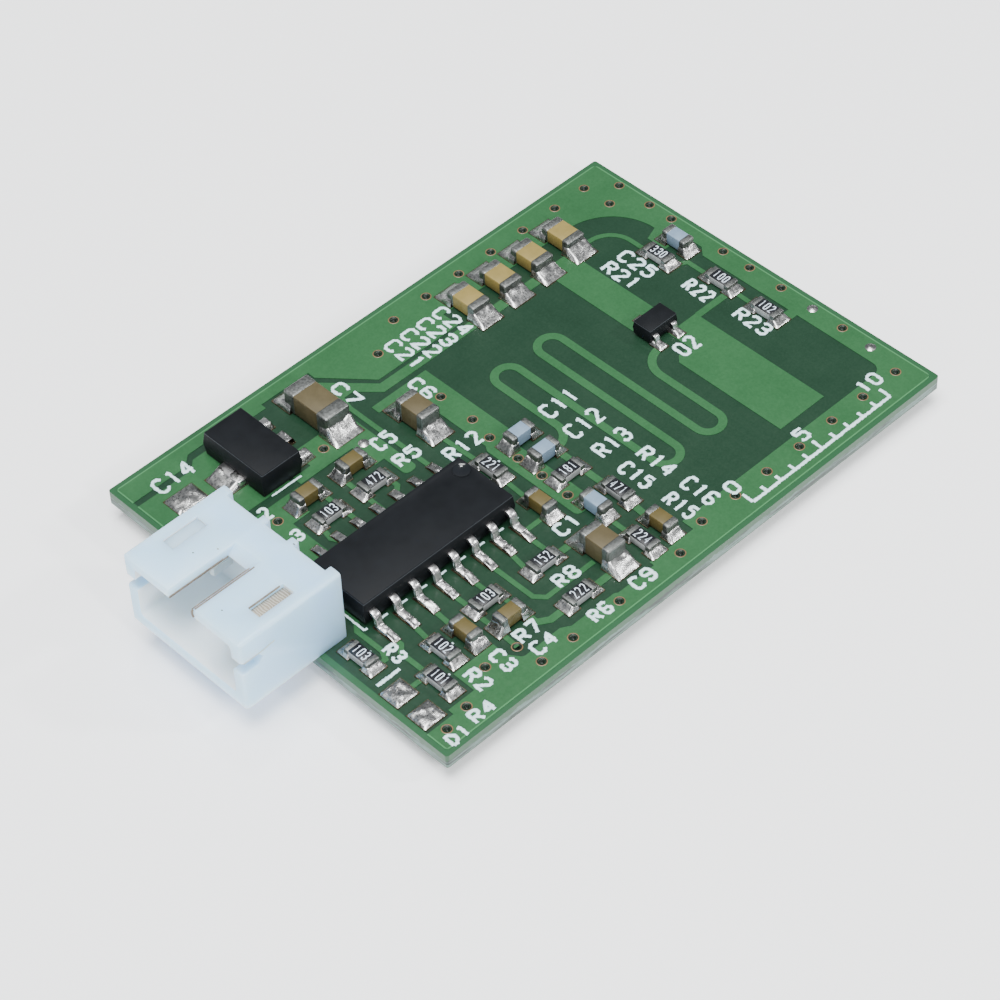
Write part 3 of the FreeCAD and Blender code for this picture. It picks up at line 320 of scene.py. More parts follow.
code_ink = finish(
    "code_ink", ((0.46, 0.54, 0.62), (0.66, 0.74, 0.82)), (0.5, 0.7),
    cloud=0.3, grain_size=0.05, bump=0.3, depth=0.004,
)
copper_ring = finish(
    "bare_copper_rim", ((0.070, 0.042, 0.018), (0.20, 0.125, 0.060)), (0.3, 0.45),
    cloud=0.2, grain_size=0.05, bump=0.3, depth=0.004,
)
# Near-black lacquer in the holes' dips: painted shade for the hollow.
via_dip_painted_shade = finish(
    "mask_in_hole_painted_shade", ((0.002, 0.006, 0.004), (0.008, 0.018, 0.011)), (0.34, 0.46),
    cloud=0.2, grain_size=0.12, bump=0.5, depth=0.012, Specular_IOR_Level=0.3,
)
pad_rim = finish(
    "tinned_pad_rim", ((0.075, 0.052, 0.028), (0.22, 0.170, 0.115)), (0.3, 0.46),
    cloud=0.2, grain_size=0.08, bump=0.4, depth=0.008, Metallic=1.0,
)
print(len(bpy.data.materials), "finishes so far")

# %% [markdown]
# ## Black moulding compound
# Epoxy compound is dark and matt, but its mould was polished in places. A thin paler line is painted
# round the package just under its top face: a painted highlight for the light that its top edge
# catches. Its height differs between the three packages, so the recipe takes it. A line drawn with a
# mesh strip would show steps at the corners; a band of Object height follows them all by itself.

# %% Compound
HALF_HIGHLIGHT = 0.018 * MM


def compound_with_painted_highlight(name, below_top):
    """Black compound for one package, with a painted highlight line some way below its top, in mm."""
    material = finish(
        name + "_compound", ((0.0036, 0.0044, 0.0056), (0.0070, 0.0083, 0.0102)), (0.48, 0.62),
        cloud=0.9, grain_size=0.045, bump=0.6, depth=0.007, Specular_IOR_Level=0.14,
    )
    tree = material.node_tree
    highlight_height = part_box(name)[1].z - below_top * MM
    away = maths(tree, "ABSOLUTE", maths(tree, "SUBTRACT", object_axes(tree)[2], highlight_height))
    # Painted highlight: a paler band just under the top face, where the top edge catches the light.
    repaint(tree, maths(tree, "LESS_THAN", away, HALF_HIGHLIGHT), (0.050, 0.056, 0.064))
    return material


# %% [markdown]
# ## The solder mask and the board's cut edge
# Green lacquer looks light over copper and dark over bare laminate, so the board and the copper
# sheets get two finishes with the same gloss and the same faint weave of the glass cloth below.
# The board's sides are cut, not lacquered: pale, with the glass threads running along them. One
# material does both on the board, because the height above the underside tells which is which.

# %% Solder mask
WAVE_PER_MM = 314.0  # the scale at which Blender's bands repeat every millimetre
weave, start, end = new_group("glass_weave", {"Pitch": 0.5}, "Height")
bands = []
for way in ("X", "Y"):
    wave = node(
        weave, "ShaderNodeTexWave", wave_type="BANDS", bands_direction=way, Distortion=1.2, Detail_Scale=2.0,
        Vector=object_place(weave), Scale=maths(weave, "DIVIDE", WAVE_PER_MM, start.outputs["Pitch"]),
    )
    bands.append(wave.outputs["Fac"])
put(weave, end, Height=maths(weave, "ADD", *bands))


def clouds_of(tree, size, contrast, share):
    """A share of the soft mottle."""
    return maths(tree, "MULTIPLY", result_of(tree, mottle, Size=size, Contrast=contrast), share)


def mask_finish(name, shades):
    """Green lacquer in two close shades. Its tree and plain colour come back too."""
    material = bpy.data.materials.new(name)
    material.use_nodes = True
    tree = material.node_tree
    shade = maths(tree, "ADD", clouds_of(tree, 2.6, 1.5, 0.6), clouds_of(tree, 0.13, 2.4, 0.4))
    colour = mix_colours(tree, shade, *shades)
    height = maths(tree, "ADD", result_of(tree, weave, Pitch=0.55), result_of(tree, grain, Size=0.5))
    raised = node(tree, "ShaderNodeBump", Strength=0.18, Distance=0.012 * MM, Height=height)
    put(
        tree, tree.nodes["Principled BSDF"], Base_Color=colour, Roughness=spread(tree, shade, 0.27, 0.42),
        Normal=raised.outputs["Normal"], Specular_IOR_Level=0.35, Coat_Weight=0.08, Coat_Roughness=0.12,
    )
    return material, tree, colour


def outer_rim(tree, corner, width):
    """One within a width of the four sides of a sheet round the origin, otherwise zero."""
    axes = object_axes(tree)
    sides = []
    for axis in (0, 1):
        out = maths(tree, "ABSOLUTE", axes[axis])
        sides.append(maths(tree, "GREATER_THAN", out, corner[axis] - width))
    return maths(tree, "MAXIMUM", *sides)


# %% [markdown]
# ## Over the copper and over the bare laminate
# The copper's outer edge catches the light, and a light green line is painted there as a painted
# highlight. Light enters the laminate at the cut edge, so the bare rim beyond the copper is painted
# paler too, as painted light. The saw leaves torn glass threads on the board's sides: long streaks,
# with the green lacquer ragged above them. All of this is painted by place in the material, because
# real geometry for it would be too fine.

# %% Mask over copper and over laminate
EDGE_HIGHLIGHT, PALE_RIM = 0.07 * MM, 0.34 * MM
OVER_COPPER = (0.0165, 0.072, 0.0250), (0.0280, 0.108, 0.0400)
OVER_LAMINATE = (0.0055, 0.0240, 0.0115), (0.0112, 0.0370, 0.0190)
mask_on_copper, tree, colour = mask_finish("mask_on_copper", OVER_COPPER)
# Painted highlight: a light green line along the copper's outer edge, where it catches the light.
repaint(tree, outer_rim(tree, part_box("ground_copper")[1], EDGE_HIGHLIGHT), (0.050, 0.175, 0.070))

board_finish, tree, colour = mask_finish("mask_on_laminate", OVER_LAMINATE)
board_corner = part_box("circuit_board")[1]
board_top = board_corner.z
# Painted light: the bare rim beyond the copper is paler, for light that enters at the cut edge.
mask_colour = mix_colours(tree, outer_rim(tree, board_corner, PALE_RIM), colour, (0.019, 0.075, 0.031))
print("board top at", round(board_top / MM, 2), "mm")

# %% The cut edge
LOWER_LACQUER, UPPER_LACQUER, TORN = 0.05 * MM, 0.17 * MM, 0.40 * MM
drawn_out = node(tree, "ShaderNodeMapping", Scale=(480, 480, 6500), Vector=object_place(tree)).outputs[0]
streaks = node(tree, "ShaderNodeTexNoise", Scale=1.0, Detail=4.0, Roughness=0.65, Vector=drawn_out)
torn = node(tree, "ShaderNodeTexNoise", Scale=2600.0, Detail=3.0, Vector=object_place(tree))
ragged = maths(tree, "MULTIPLY", torn.outputs["Fac"], TORN)
height = object_axes(tree)[2]
below_top = maths(tree, "LESS_THAN", height, maths(tree, "SUBTRACT", board_top - UPPER_LACQUER, ragged))
above_foot = maths(tree, "GREATER_THAN", height, LOWER_LACQUER)
cut_side = maths(tree, "MULTIPLY", below_top, above_foot)
streaked = node(tree, "ShaderNodeMapRange", From_Min=0.43, From_Max=0.57, Value=streaks.outputs["Fac"])
edge_colour = mix_colours(tree, streaked.outputs["Result"], (0.012, 0.026, 0.019), (0.108, 0.182, 0.158))
board_colour = mix_colours(tree, cut_side, mask_colour, edge_colour)
put(tree, tree.nodes["Principled BSDF"], Base_Color=board_colour)

# %% [markdown]
# ## Parts that keep their CAD shape
# The board, its copper, the pads and the pins are already as the eye sees them, so their nodes
# only get a finish. A copy of them would bring nothing but more triangles.

# %% Finishes onto CAD nodes
def dress(name, material):
    """Gives a CAD node its finish; its shape stays."""
    mesh = nodes[name].data
    mesh.materials.clear()
    mesh.materials.append(material)


dress("circuit_board", board_finish)
for name in ("ground_copper", "supply_copper", "signal_tracks", "aerial_copper"):
    dress(name, mask_on_copper)
dress("solder_pads", pad_rim)
for number in (1, 2, 3):
    dress("contact_pin_%d" % number, contact_metal)
    dress("pin_solder_%d" % number, solder)
print(len([n for n in nodes.values() if n.data and n.data.materials]), "CAD nodes with a finish")

# %% [markdown]
# ## Rounding off CAD solids
# CAD edges are razor sharp, and real moulded or plated edges catch a thin line of light. A copy of
# the solid's mesh is merged, its flat faces are joined, and a bevel rounds the sharp edges. The
# CAD node is then hidden and the copy stands for it. A bevel modifier would do the same, but the
# CAD mesh is loose triangles, so it needs the merge first.

# %% Softened copies
def add_piece(name, mesh, *stands_for, slot=None):
    """Puts a mesh on the body. It may stand for CAD nodes, which are then hidden."""
    made = new_object(name, mesh)
    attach(made, "root")
    if stands_for:
        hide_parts(*stands_for)
    return made


def welded_form(name):
    """The loose triangles of a CAD node, joined where their corners meet."""
    form = bmesh.new()
    form.from_mesh(nodes[name].data)
    bmesh.ops.remove_doubles(form, verts=form.verts, dist=0.0002 * MM)
    return form


def merged_form(name):
    """The same with its flat faces joined as well."""
    form = welded_form(name)
    bmesh.ops.dissolve_limit(form, angle_limit=math.radians(0.5), verts=form.verts, edges=form.edges)
    return form


def softened(name, material, width, slot, sharp_from=28, spared=None):
    """A copy with its sharp edges rounded, apart from edges that spared() says to leave."""
    form = merged_form(name)
    limit = math.radians(sharp_from)
    sharp = [e for e in form.edges if e.is_manifold and e.calc_face_angle(0) > limit]
    if spared:
        sharp = [e for e in sharp if not spared(e)]
    bmesh.ops.bevel(
        form, geom=sharp, offset=width * MM, offset_type="OFFSET", segments=2, profile=0.5,
        affect="EDGES", clamp_overlap=False, material=-1,
    )
    mesh = mesh_of(form, name + "_soft")
    mesh.set_sharp_from_angle(angle=math.radians(40))
    mesh.materials.append(material)
    return add_piece(name + "_soft", mesh, name, slot=slot)


BODIES = (("detector_body", 0.07, 0.04), ("regulator_body", 0.06, 0.05), ("transistor_body", 0.05, 0.035))
LEADS = (
    ("detector_leads_front", 0.045), ("detector_leads_back", 0.045),
    ("regulator_leads", 0.05), ("transistor_leads", 0.02),
)
for name, highlight_depth, radius in BODIES:
    softened(name, compound_with_painted_highlight(name, highlight_depth), radius, "package_black")
for name, radius in LEADS:
    softened(name, tinned, radius, "tinned_lead", sharp_from=50)
print(len(BODIES), "bodies and", len(LEADS), "sets of leads rounded")

# %% [markdown]
# ## Chip capacitors and resistors
# A chip capacitor is a bar of fired ceramic whose two ends are dipped in metal, so the ends stand
# a little proud and have soft corners. A chip resistor is a thin plate of white alumina with a
# black glass coat on its top between the metal ends. Each is built at its CAD node's own box, from
# cubes that are stretched and bevelled. The long side of the box tells which way the chip lies.

# %% Chips
def block_mesh(low, high, radius, segments=2):
    """A block between two corners with round edges."""
    form = bmesh.new()
    bmesh.ops.create_cube(form, size=1.0)
    bmesh.ops.scale(form, vec=high - low, verts=form.verts)
    bmesh.ops.translate(form, vec=(high + low) / 2, verts=form.verts)
    bmesh.ops.bevel(
        form, geom=form.edges[:], offset=radius * MM, offset_type="OFFSET", segments=segments,
        profile=0.5, affect="EDGES", clamp_overlap=True, material=-1,
    )
    return mesh_of(form, "block")


def joined(name, parts, materials):
    """One mesh from several, each with the number of its material."""
    form = bmesh.new()
    for mesh, number in parts:
        first = len(form.faces)
        form.from_mesh(mesh)
        form.faces.ensure_lookup_table()
        for face in form.faces[first:]:
            face.material_index = number
        bpy.data.meshes.remove(mesh)
    mesh = mesh_of(form, name)
    for material in materials:
        mesh.materials.append(material)
    return mesh


END_SHARE = {"resistor": 0.185, "capacitor": 0.25}


def chip_ends(low, high, share, inset):
    """The two end blocks and the middle block of a chip, as pairs of corners."""
    size = high - low
    way = 0 if size.x > size.y else 1
    band = size[way] * share
    first_high, second_low = high.copy(), low.copy()
    first_high[way] = low[way] + band
    second_low[way] = high[way] - band
    core_low, core_high = low.copy(), high.copy()
    core_low[way] += band * 0.5
    core_high[way] -= band * 0.5
    for axis in (0, 1, 2):
        if axis != way:
            core_low[axis] += inset * MM
            core_high[axis] -= inset * MM
    return way, (low, first_high), (second_low, high), (core_low, core_high)


def dress_capacitor(name, ceramic):
    """A ceramic bar with two dipped ends. Taller chips have softer ends."""
    low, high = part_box(name)
    first, second, core = chip_ends(low, high, END_SHARE["capacitor"], 0.03)[1:]
    corner = 0.09 + 0.03 * (high.z - low.z) / MM
    parts = [(block_mesh(*core, 0.06, 3), 0)]
    parts += [(block_mesh(*end, corner, 4), 1) for end in (first, second)]
    mesh = joined(name + "_chip", parts, [ceramic, end_metal])
    add_piece(name + "_chip", mesh, name, slot=slots[name])


def dress_resistor(name):
    """A grey plate with two ends and a black coat that stands level with them."""
    low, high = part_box(name)
    way, first, second, core = chip_ends(low, high, END_SHARE["resistor"], 0.02)
    core[1].z -= 0.03 * MM
    coat_low, coat_high = core[0].copy(), core[1].copy()
    from_end = (high - low)[way] * (END_SHARE["resistor"] - 0.02)
    coat_low[way] = low[way] + from_end
    coat_high[way] = high[way] - from_end
    coat_low.z, coat_high.z = core[1].z - 0.02 * MM, high.z
    coat_low[1 - way] += 0.015 * MM
    coat_high[1 - way] -= 0.015 * MM
    parts = [
        (block_mesh(*core, 0.02), 0),
        (block_mesh(*first, 0.05, 3), 1),
        (block_mesh(*second, 0.05, 3), 1),
        (block_mesh(coat_low, coat_high, 0.02), 2),
    ]
    mesh = joined(name + "_chip", parts, [grey_ceramic, end_metal, black_coat])
    add_piece(name + "_chip", mesh, name, slot="resistor_chip")


# %% Every chip
CERAMIC_LOOKS = (
    ("small_capacitor_tan", "tan_ceramic", ((0.066, 0.051, 0.012), (0.095, 0.072, 0.020)), (0.42, 0.56), 0.5),
    ("tall_capacitor_brown", "brown_ceramic", ((0.056, 0.044, 0.018), (0.082, 0.065, 0.029)), (0.42, 0.58), 0.6),
    ("row_capacitor_tan", "yellow_ceramic", ((0.180, 0.138, 0.037), (0.235, 0.178, 0.052)), (0.4, 0.54), 0.5),
    ("white_capacitor", "white_ceramic", ((0.135, 0.200, 0.275), (0.185, 0.262, 0.350)), (0.3, 0.45), 0.4),
)
ceramics = {
    slot: finish(name, shades, rough, cloud, grain_size=0.06, bump=0.3, depth=0.006)
    for slot, name, shades, rough, cloud in CERAMIC_LOOKS
}
capacitors = sorted(name for name in nodes if name.startswith("capacitor"))
resistors = sorted(name for name in nodes if name.startswith("resistor"))
slots = {row["node"]: row["material_slot"] for row in frame["record"]["subparts"]}
for name in capacitors:
    dress_capacitor(name, ceramics[slots[name]])
for name in resistors:
    dress_resistor(name)
print(len(capacitors), "capacitors and", len(resistors), "resistors")

# %% [markdown]
# ## Solder
# Molten solder wets the pad and climbs whatever stands on it, then freezes in a smooth slope that
# is steep at the part and runs out flat at the pad's rim. Each joint starts as a fine grid over
# its pad. Every point is lifted by how far it is from the metal that the solder climbs, measured
# against the room left to the rim. Sculpting sixty joints by hand would give no better a curve.

# %% Solder joints
def corners(points):
    """The low and the high corner of the box round some points."""
    return tuple(Vector([pick(p[i] for p in points) for i in range(3)]) for pick in (min, max))


def groups(items, neighbours):
    """Items gathered into groups that hang together, in the order in which they come."""
    left = dict.fromkeys(items)
    while left:
        group = [next(iter(left))]
        del left[group[0]]
        for here in group:
            for other in neighbours(here):
                if other in left:
                    del left[other]
                    group.append(other)
        yield group


def islands(name):
    """The boxes of the separate solids of a CAD node, as pairs of corners."""
    form = welded_form(name)
    solids = groups(form.verts, lambda vert: [e.other_vert(vert) for e in vert.link_edges])
    found = [corners([v.co for v in solid]) for solid in solids]
    form.free()
    return found


PAD_BORDER = Vector((0.022, 0.022, 0)) * MM
FILM, SUNK, LEAST_ROOM = 0.016 * MM, 0.003 * MM, 0.02 * MM
CELLS = 14
WAVES = ((1.0, 0.45 * MM, (3.7, 0)), (0.5, 0.17 * MM, (1.3, 4)))


def solder_mesh(pad, root, climb, curve, lumps, seed):
    """Solder on one pad. root is the foot or chip end that it climbs, or None for a bare pad.

    climb is its height at the root, curve how hollow its slope is, lumps how uneven it is.
    """
    low, high = pad[0] + PAD_BORDER, pad[1] - PAD_BORDER
    form = bmesh.new()
    bmesh.ops.create_grid(form, x_segments=CELLS, y_segments=CELLS, size=0.5)
    bmesh.ops.scale(form, vec=(high.x - low.x, high.y - low.y, 1), verts=form.verts)
    bmesh.ops.translate(form, vec=((low.x + high.x) / 2, (low.y + high.y) / 2, high.z), verts=form.verts)
    middle = (low + high) / 2
    bare_pad = root is None
    root = root or (middle, middle)
    for vert in form.verts:
        shares = [0.0]
        for axis in (0, 1):
            place = vert.co[axis]
            if place < root[0][axis]:
                shares.append((root[0][axis] - place) / max(root[0][axis] - low[axis], LEAST_ROOM))
            elif place > root[1][axis]:
                shares.append((place - root[1][axis]) / max(high[axis] - root[1][axis], LEAST_ROOM))
        far = max(shares) ** 3 if bare_pad else math.hypot(*shares)
        near = max(0.0, 1 - far)
        from_rim = min(min(vert.co[i] - low[i], high[i] - vert.co[i]) for i in (0, 1))
        film = FILM * min(1.0, max(0.0, from_rim) / (3 * FILM))
        wave = 0.0
        for share, width, (step, shift) in WAVES:
            wave += share * noise.noise(vert.co / width + Vector((seed * step, shift, 0)))
        vert.co.z += film + climb * near**curve * (1 + lumps * 2 * wave) - SUNK
    return mesh_of(form, "joint")


# %% Every solder joint
def overlap(first, second):
    """Whether two boxes overlap when looked at from above."""
    return all(first[0][i] < second[1][i] and second[0][i] < first[1][i] for i in (0, 1))


pads = islands("solder_pads")
joints = []


def solder_on(box, root, climb, curve, lumps):
    """Solder on each pad below a box. Without a root it climbs what stands over the pad."""
    for pad in pads:
        if overlap(pad, box):
            foot = root or (Vector(map(max, box[0], pad[0])), Vector(map(min, box[1], pad[1])))
            joints.append((solder_mesh(pad, foot, climb, curve, lumps, len(joints)), 0))


for name in capacitors + resistors:
    low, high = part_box(name)
    for root in chip_ends(low, high, END_SHARE[name.split("_")[0]], 0.0)[1:3]:
        climb = (high.z - low.z) * random.uniform(0.40, 0.62)
        solder_on(root, root, climb, random.uniform(0.8, 1.5), 0.12)

FOOT, LEAD_CLIMB = 0.62 * MM, 0.17 * MM
for low, high in islands("detector_leads_front"):
    root = (low, Vector((high.x, low.y + FOOT, high.z)))
    solder_on(root, root, LEAD_CLIMB, random.uniform(0.4, 0.6), 0.26)
for low, high in islands("detector_leads_back"):
    root = (Vector((low.x, high.y - FOOT, low.z)), high)
    solder_on(root, root, LEAD_CLIMB, random.uniform(0.4, 0.6), 0.26)
for box in islands("regulator_leads"):
    solder_on(box, None, 0.36 * MM, 0.8, 0.1)
for box in islands("transistor_leads"):
    solder_on(box, None, 0.14 * MM, 0.7, 0.15)

standing = [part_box(n) for n in capacitors + resistors]
standing += [box for name, radius in LEADS for box in islands(name)]
bare = [p for p in pads if not any(overlap(p, box) for box in standing)]
for pad in bare:
    joints.append((solder_mesh(pad, None, 0.13 * MM, 0.5, 0.3, len(joints)), 0))
add_piece("solder_joints", joined("solder_joints", joints, [solder]), slot="solder")
print(len(joints), "solder joints, of which", len(bare), "on bare pads")

# %% [markdown]
# ## Plated holes
# Each hole that joins the top copper to the bottom is drowned in green lacquer, which sinks into it
# as a shining dip. The dip is painted near black, as painted shade for the hollow, and only the
# copper's thin rim shows brown. A few were left open and took solder. One profile is spun once for
# each hole, whose place comes from the CAD board's upright walls. A boolean cut would need the same
# spun shapes and leave rougher edges.

# %% Plated holes
def drilled_holes(name, narrowest, widest):
    """Middles of a CAD plate's holes of some width in mm, from groups of joined upright faces."""
    form = merged_form(name)
    upright = [f for f in form.faces if abs(f.normal.z) < 0.1]
    found = []
    for wall in groups(upright, lambda face: [f for e in face.edges for f in e.link_faces]):
        low, high = corners([v.co for f in wall for v in f.verts])
        if narrowest * MM < high.x - low.x < widest * MM:
            found.append((low + high) / 2)
    form.free()
    return found


def spun(profile, steps):
    """A profile of (radius, height) in mm, turned once about the upright axis."""
    form = bmesh.new()
    points = [form.verts.new((r * MM, 0, z * MM)) for r, z in profile]
    edges = [form.edges.new(pair) for pair in zip(points, points[1:])]
    bmesh.ops.spin(
        form, geom=points + edges, cent=(0, 0, 0), axis=(0, 0, 1), angle=math.tau, steps=steps, use_merge=True,
    )
    bmesh.ops.remove_doubles(form, verts=form.verts, dist=0.0001 * MM)
    bmesh.ops.recalc_face_normals(form, faces=form.faces)
    return mesh_of(form, "turned")


# %% Every plated hole
top = board_top / MM
copper_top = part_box("ground_copper")[1].z / MM


def above(base, *points):
    """A profile whose heights count from a base."""
    return [(radius, base + height) for radius, height in points]


DIP = above(top, (0.0, -0.16), (0.07, -0.13), (0.12, -0.05)) + above(copper_top, (0.165, 0.004), (0.235, 0.006))
RIM = above(copper_top, (0.235, 0.006), (0.25, 0.011), (0.28, 0.009), (0.295, -0.003))
FOOT_RIM = [(0.14, 0.12), (0.145, -0.006), (0.25, -0.008), (0.28, -0.004), (0.285, 0.01)]
DOME = above(copper_top, (0.0, 0.085), (0.1, 0.078), (0.2, 0.05), (0.29, 0.001))
SOLDERED_AT = [(16.3, -4.2), (16.18, -8.2), (-6.12, 5.3)]


def placed(profile, hole):
    """A ring or dip spun from its profile and set on a hole."""
    mesh = spun(profile, 16)
    mesh.transform(Matrix.Translation((hole.x, hole.y, 0)))
    return mesh


NARROWEST, WIDEST = 0.2, 0.4
holes = drilled_holes("circuit_board", NARROWEST, WIDEST)
drowned, soldered = [], []
for hole in holes:
    if any(math.dist((hole.x / MM, hole.y / MM), spot) < 0.1 for spot in SOLDERED_AT):
        soldered.append((placed(DOME, hole), 0))
    else:
        drowned += [(placed(DIP, hole), 1), (placed(RIM, hole), 0)]
    drowned.append((placed(FOOT_RIM, hole), 0))
add_piece("plated_holes", joined("plated_holes", drowned, [copper_ring, via_dip_painted_shade]), slot="masked_copper")
add_piece("soldered_holes", joined("soldered_holes", soldered, [solder]), slot="solder")
print(len(holes), "plated holes")

# %% [markdown]
# ## Printed labels
# The white names beside the parts are drawn on a real board with one round pen, so the letters
# here are pen strokes too, not a typeface. Each letter is a few points on a grid four wide and six
# high. All strokes go into one curve with a round pen as its bevel, which is then pressed flat.
# The names are plain part numbers of this lesson's own, and the long zone gets a plain scale.

# %% The pen and its letters
STROKES = {
    "0": ["01 10 30 41 45 36 16 05 01"],
    "1": ["15 26 20"],
    "2": ["05 16 36 45 44 00 40"],
    "3": ["05 16 36 45 44 33 13", "33 42 41 30 10 01"],
    "4": ["30 36 02 42"],
    "5": ["46 06 04 34 43 41 30 10 01"],
    "6": ["45 36 16 05 01 10 30 41 42 33 03"],
    "7": ["06 46 10"],
    "8": ["13 04 05 16 36 45 44 33 13 02 01 10 30 41 42 33"],
    "9": ["01 10 30 41 45 36 16 05 04 13 43"],
    "C": ["45 36 16 05 01 10 30 41"],
    "R": ["00 06 36 45 44 33 03", "23 40"],
    "D": ["00 06 26 44 42 20 00"],
    "Q": ["01 10 30 41 45 36 16 05 01", "31 40"],
}
print(len(STROKES), "digits and letters")
GRID_WIDE, GRID_HIGH = 4, 6
PRINT_PEN, LETTER_GAP = 0.21, 0.07
INK_STEP, INK_PLAY, INK_FLAT = 0.09, 0.014, 0.22


def pen_strokes(text, left, top, right, bottom, turned=False, pen=PRINT_PEN, gap=LETTER_GAP):
    """Strokes of a text that fills a box in mm, ink included. Turned text reads downwards."""
    run = (top - bottom) if turned else (right - left)
    tall = ((right - left) if turned else (top - bottom)) - pen
    letter_run = (run + gap) / len(text)
    wide = letter_run - gap - pen
    lines = []
    for i, letter in enumerate(text):
        for stroke in STROKES[letter]:
            points = []
            for pair in stroke.split():
                along = i * letter_run + pen / 2 + int(pair[0]) / GRID_WIDE * wide
                up = pen / 2 + int(pair[1]) / GRID_HIGH * tall
                points.append((left + up, top - along) if turned else (left + along, bottom + up))
            lines.append(points)
    return lines


def uneven(points):
    """A stroke cut into short runs with a little play, as ink through a coarse mesh has."""
    beads = [points[0]]
    for (x0, y0), (x1, y1) in zip(points, points[1:]):
        count = max(1, round(math.dist((x0, y0), (x1, y1)) / INK_STEP))
        for k in range(1, count + 1):
            beads.append((x0 + (x1 - x0) * k / count, y0 + (y1 - y0) * k / count))
    return [tuple(value + random.uniform(-INK_PLAY, INK_PLAY) for value in bead) for bead in beads]


# %% Strokes to meshes
def stroked(name, lines, pen, material, play=0.0):
    """One mesh of strokes, each a run of points in mm. play is how far the pen's width wanders."""
    curve = bpy.data.curves.new(name, "CURVE")
    curve.dimensions = "3D"
    curve.bevel_depth = pen / 2 * MM
    curve.bevel_resolution = 1
    curve.use_fill_caps = True
    for points in lines:
        spline = curve.splines.new("POLY")
        spline.points.add(len(points) - 1)
        for point, (x, y, z) in zip(spline.points, points):
            point.co = (x * MM, y * MM, z * MM, 1)
            point.radius = 1 + random.uniform(-play, play)
    holder = new_object(name + "_line", curve)
    bpy.context.view_layer.update()
    mesh = bpy.data.meshes.new_from_object(holder.evaluated_get(bpy.context.evaluated_depsgraph_get()))
    bpy.data.objects.remove(holder)
    mesh.name = name
    mesh.materials.clear()
    mesh.materials.append(material)
    for polygon in mesh.polygons:
        polygon.use_smooth = True
    return mesh


def inked(name, lines, pen, height, material, play=0.0):
    """Strokes of points (x, y) pressed flat at a height, as a print."""
    runs = [uneven(points) if play else points for points in lines]
    mesh = stroked(name, [[(x, y, 0) for x, y in run] for run in runs], pen, material, play)
    mesh.transform(Matrix.Translation((0, 0, height * MM)) @ Matrix.Scale(INK_FLAT, 4, (0, 0, 1)))
    return mesh


# %% Labels on the board
# Text, left, top, right and bottom in mm, then True for a name that reads downwards.
LABELS = [
    ("C14", -15.4, 10.9, -13.0, 9.75),
    ("C7", -4.8, 9.4, -3.9, 7.5, True),
    ("C6", -1.9, 6.83, -1.0, 5.2, True),
    ("C5", -5.98, 5.25, -4.68, 4.2),
    ("R5", -6.0, 3.6, -4.5, 2.65),
    ("2", -13.0, 5.72, -12.4, 4.74),
    ("3", -12.85, 3.5, -12.25, 2.6),
    ("R12", -3.97, 2.15, -1.75, 1.1),
    ("R3", -14.85, -5.2, -13.97, -6.4, True),
    ("R4", -14.75, -10.76, -13.3, -11.66),
    ("D1", -16.4, -11.02, -15.1, -11.85),
    ("R2", -13.3, -9.0, -12.36, -10.45, True),
    ("C3", -11.65, -9.0, -10.75, -10.45, True),
    ("R7", -9.9, -8.8, -8.4, -9.75),
    ("C4", -9.9, -9.85, -8.45, -10.8),
    ("R8", -6.2, -7.65, -4.75, -8.6),
    ("R6", -6.6, -10.4, -5.3, -11.3),
    ("C9", -3.8, -10.35, -2.35, -11.3),
    ("C1", -3.85, -5.35, -2.35, -6.3),
    ("C11", 1.4, 0.85, 3.65, -0.25),
    ("C12", 1.25, -1.0, 3.5, -2.15),
    ("R13", 1.3, -2.95, 3.5, -4.05),
    ("C15", 1.1, -4.9, 2.1, -6.9, True),
    ("R14", 2.45, -4.85, 3.5, -7.1, True),
    ("R15", 1.1, -7.9, 2.1, -9.8, True),
    ("C16", 2.45, -7.8, 3.5, -9.9, True),
    ("Q2", 9.2, -0.9, 10.6, -2.0),
    ("C21", -0.86, 9.7, 0.14, 7.2, True),
    ("C22", 0.26, 9.7, 1.26, 7.2, True),
    ("C23", 1.38, 9.7, 2.38, 7.2, True),
    ("C24", 2.5, 9.7, 3.5, 7.2, True),
    ("R21", 10.9, 5.8, 11.9, 3.4, True),
    ("C25", 12.1, 5.8, 13.1, 3.4, True),
    ("R22", 12.8, 1.85, 13.8, 0.0, True),
    ("R23", 13.0, -1.5, 14.0, -3.8, True),
]
lines = []
for label in LABELS:
    lines += pen_strokes(*label)
lines.append([(-16.35, -6.67), (-14.9, -6.67)])
print(len(LABELS), "names")

# %% The scale and the small marks
SCALE_LEFT, SCALE_RIGHT, SCALE_FOOT = 4.2, 14.2, -11.2
SCALE_MARKS, SHORT_MARK, TALL_MARK = 10, 0.4, 0.7
NUMBER_FOOT, NUMBER_TOP, HALF_NUMBER = SCALE_FOOT + 0.9, SCALE_FOOT + 1.85, 0.37
step = (SCALE_RIGHT - SCALE_LEFT) / SCALE_MARKS
for mark in range(SCALE_MARKS + 1):
    x = SCALE_LEFT + mark * step
    lines.append([(x, SCALE_FOOT), (x, SCALE_FOOT + (SHORT_MARK if mark % 5 else TALL_MARK))])
lines.append([(SCALE_LEFT, SCALE_FOOT), (SCALE_RIGHT, SCALE_FOOT)])
for text, x in (("0", SCALE_LEFT), ("5", SCALE_LEFT + 5 * step), ("10", SCALE_RIGHT)):
    half = HALF_NUMBER * len(text)
    lines += pen_strokes(text, x - half, NUMBER_TOP, x + half, NUMBER_FOOT)
for x, y in ((-15.2, -4.9), (-12.15, -7.3), (-13.6, -8.55), (-2.42, -0.42)):
    lines.append([(x, y - 0.05), (x, y + 0.05)])
PRINT_HEIGHT = copper_top + 0.004
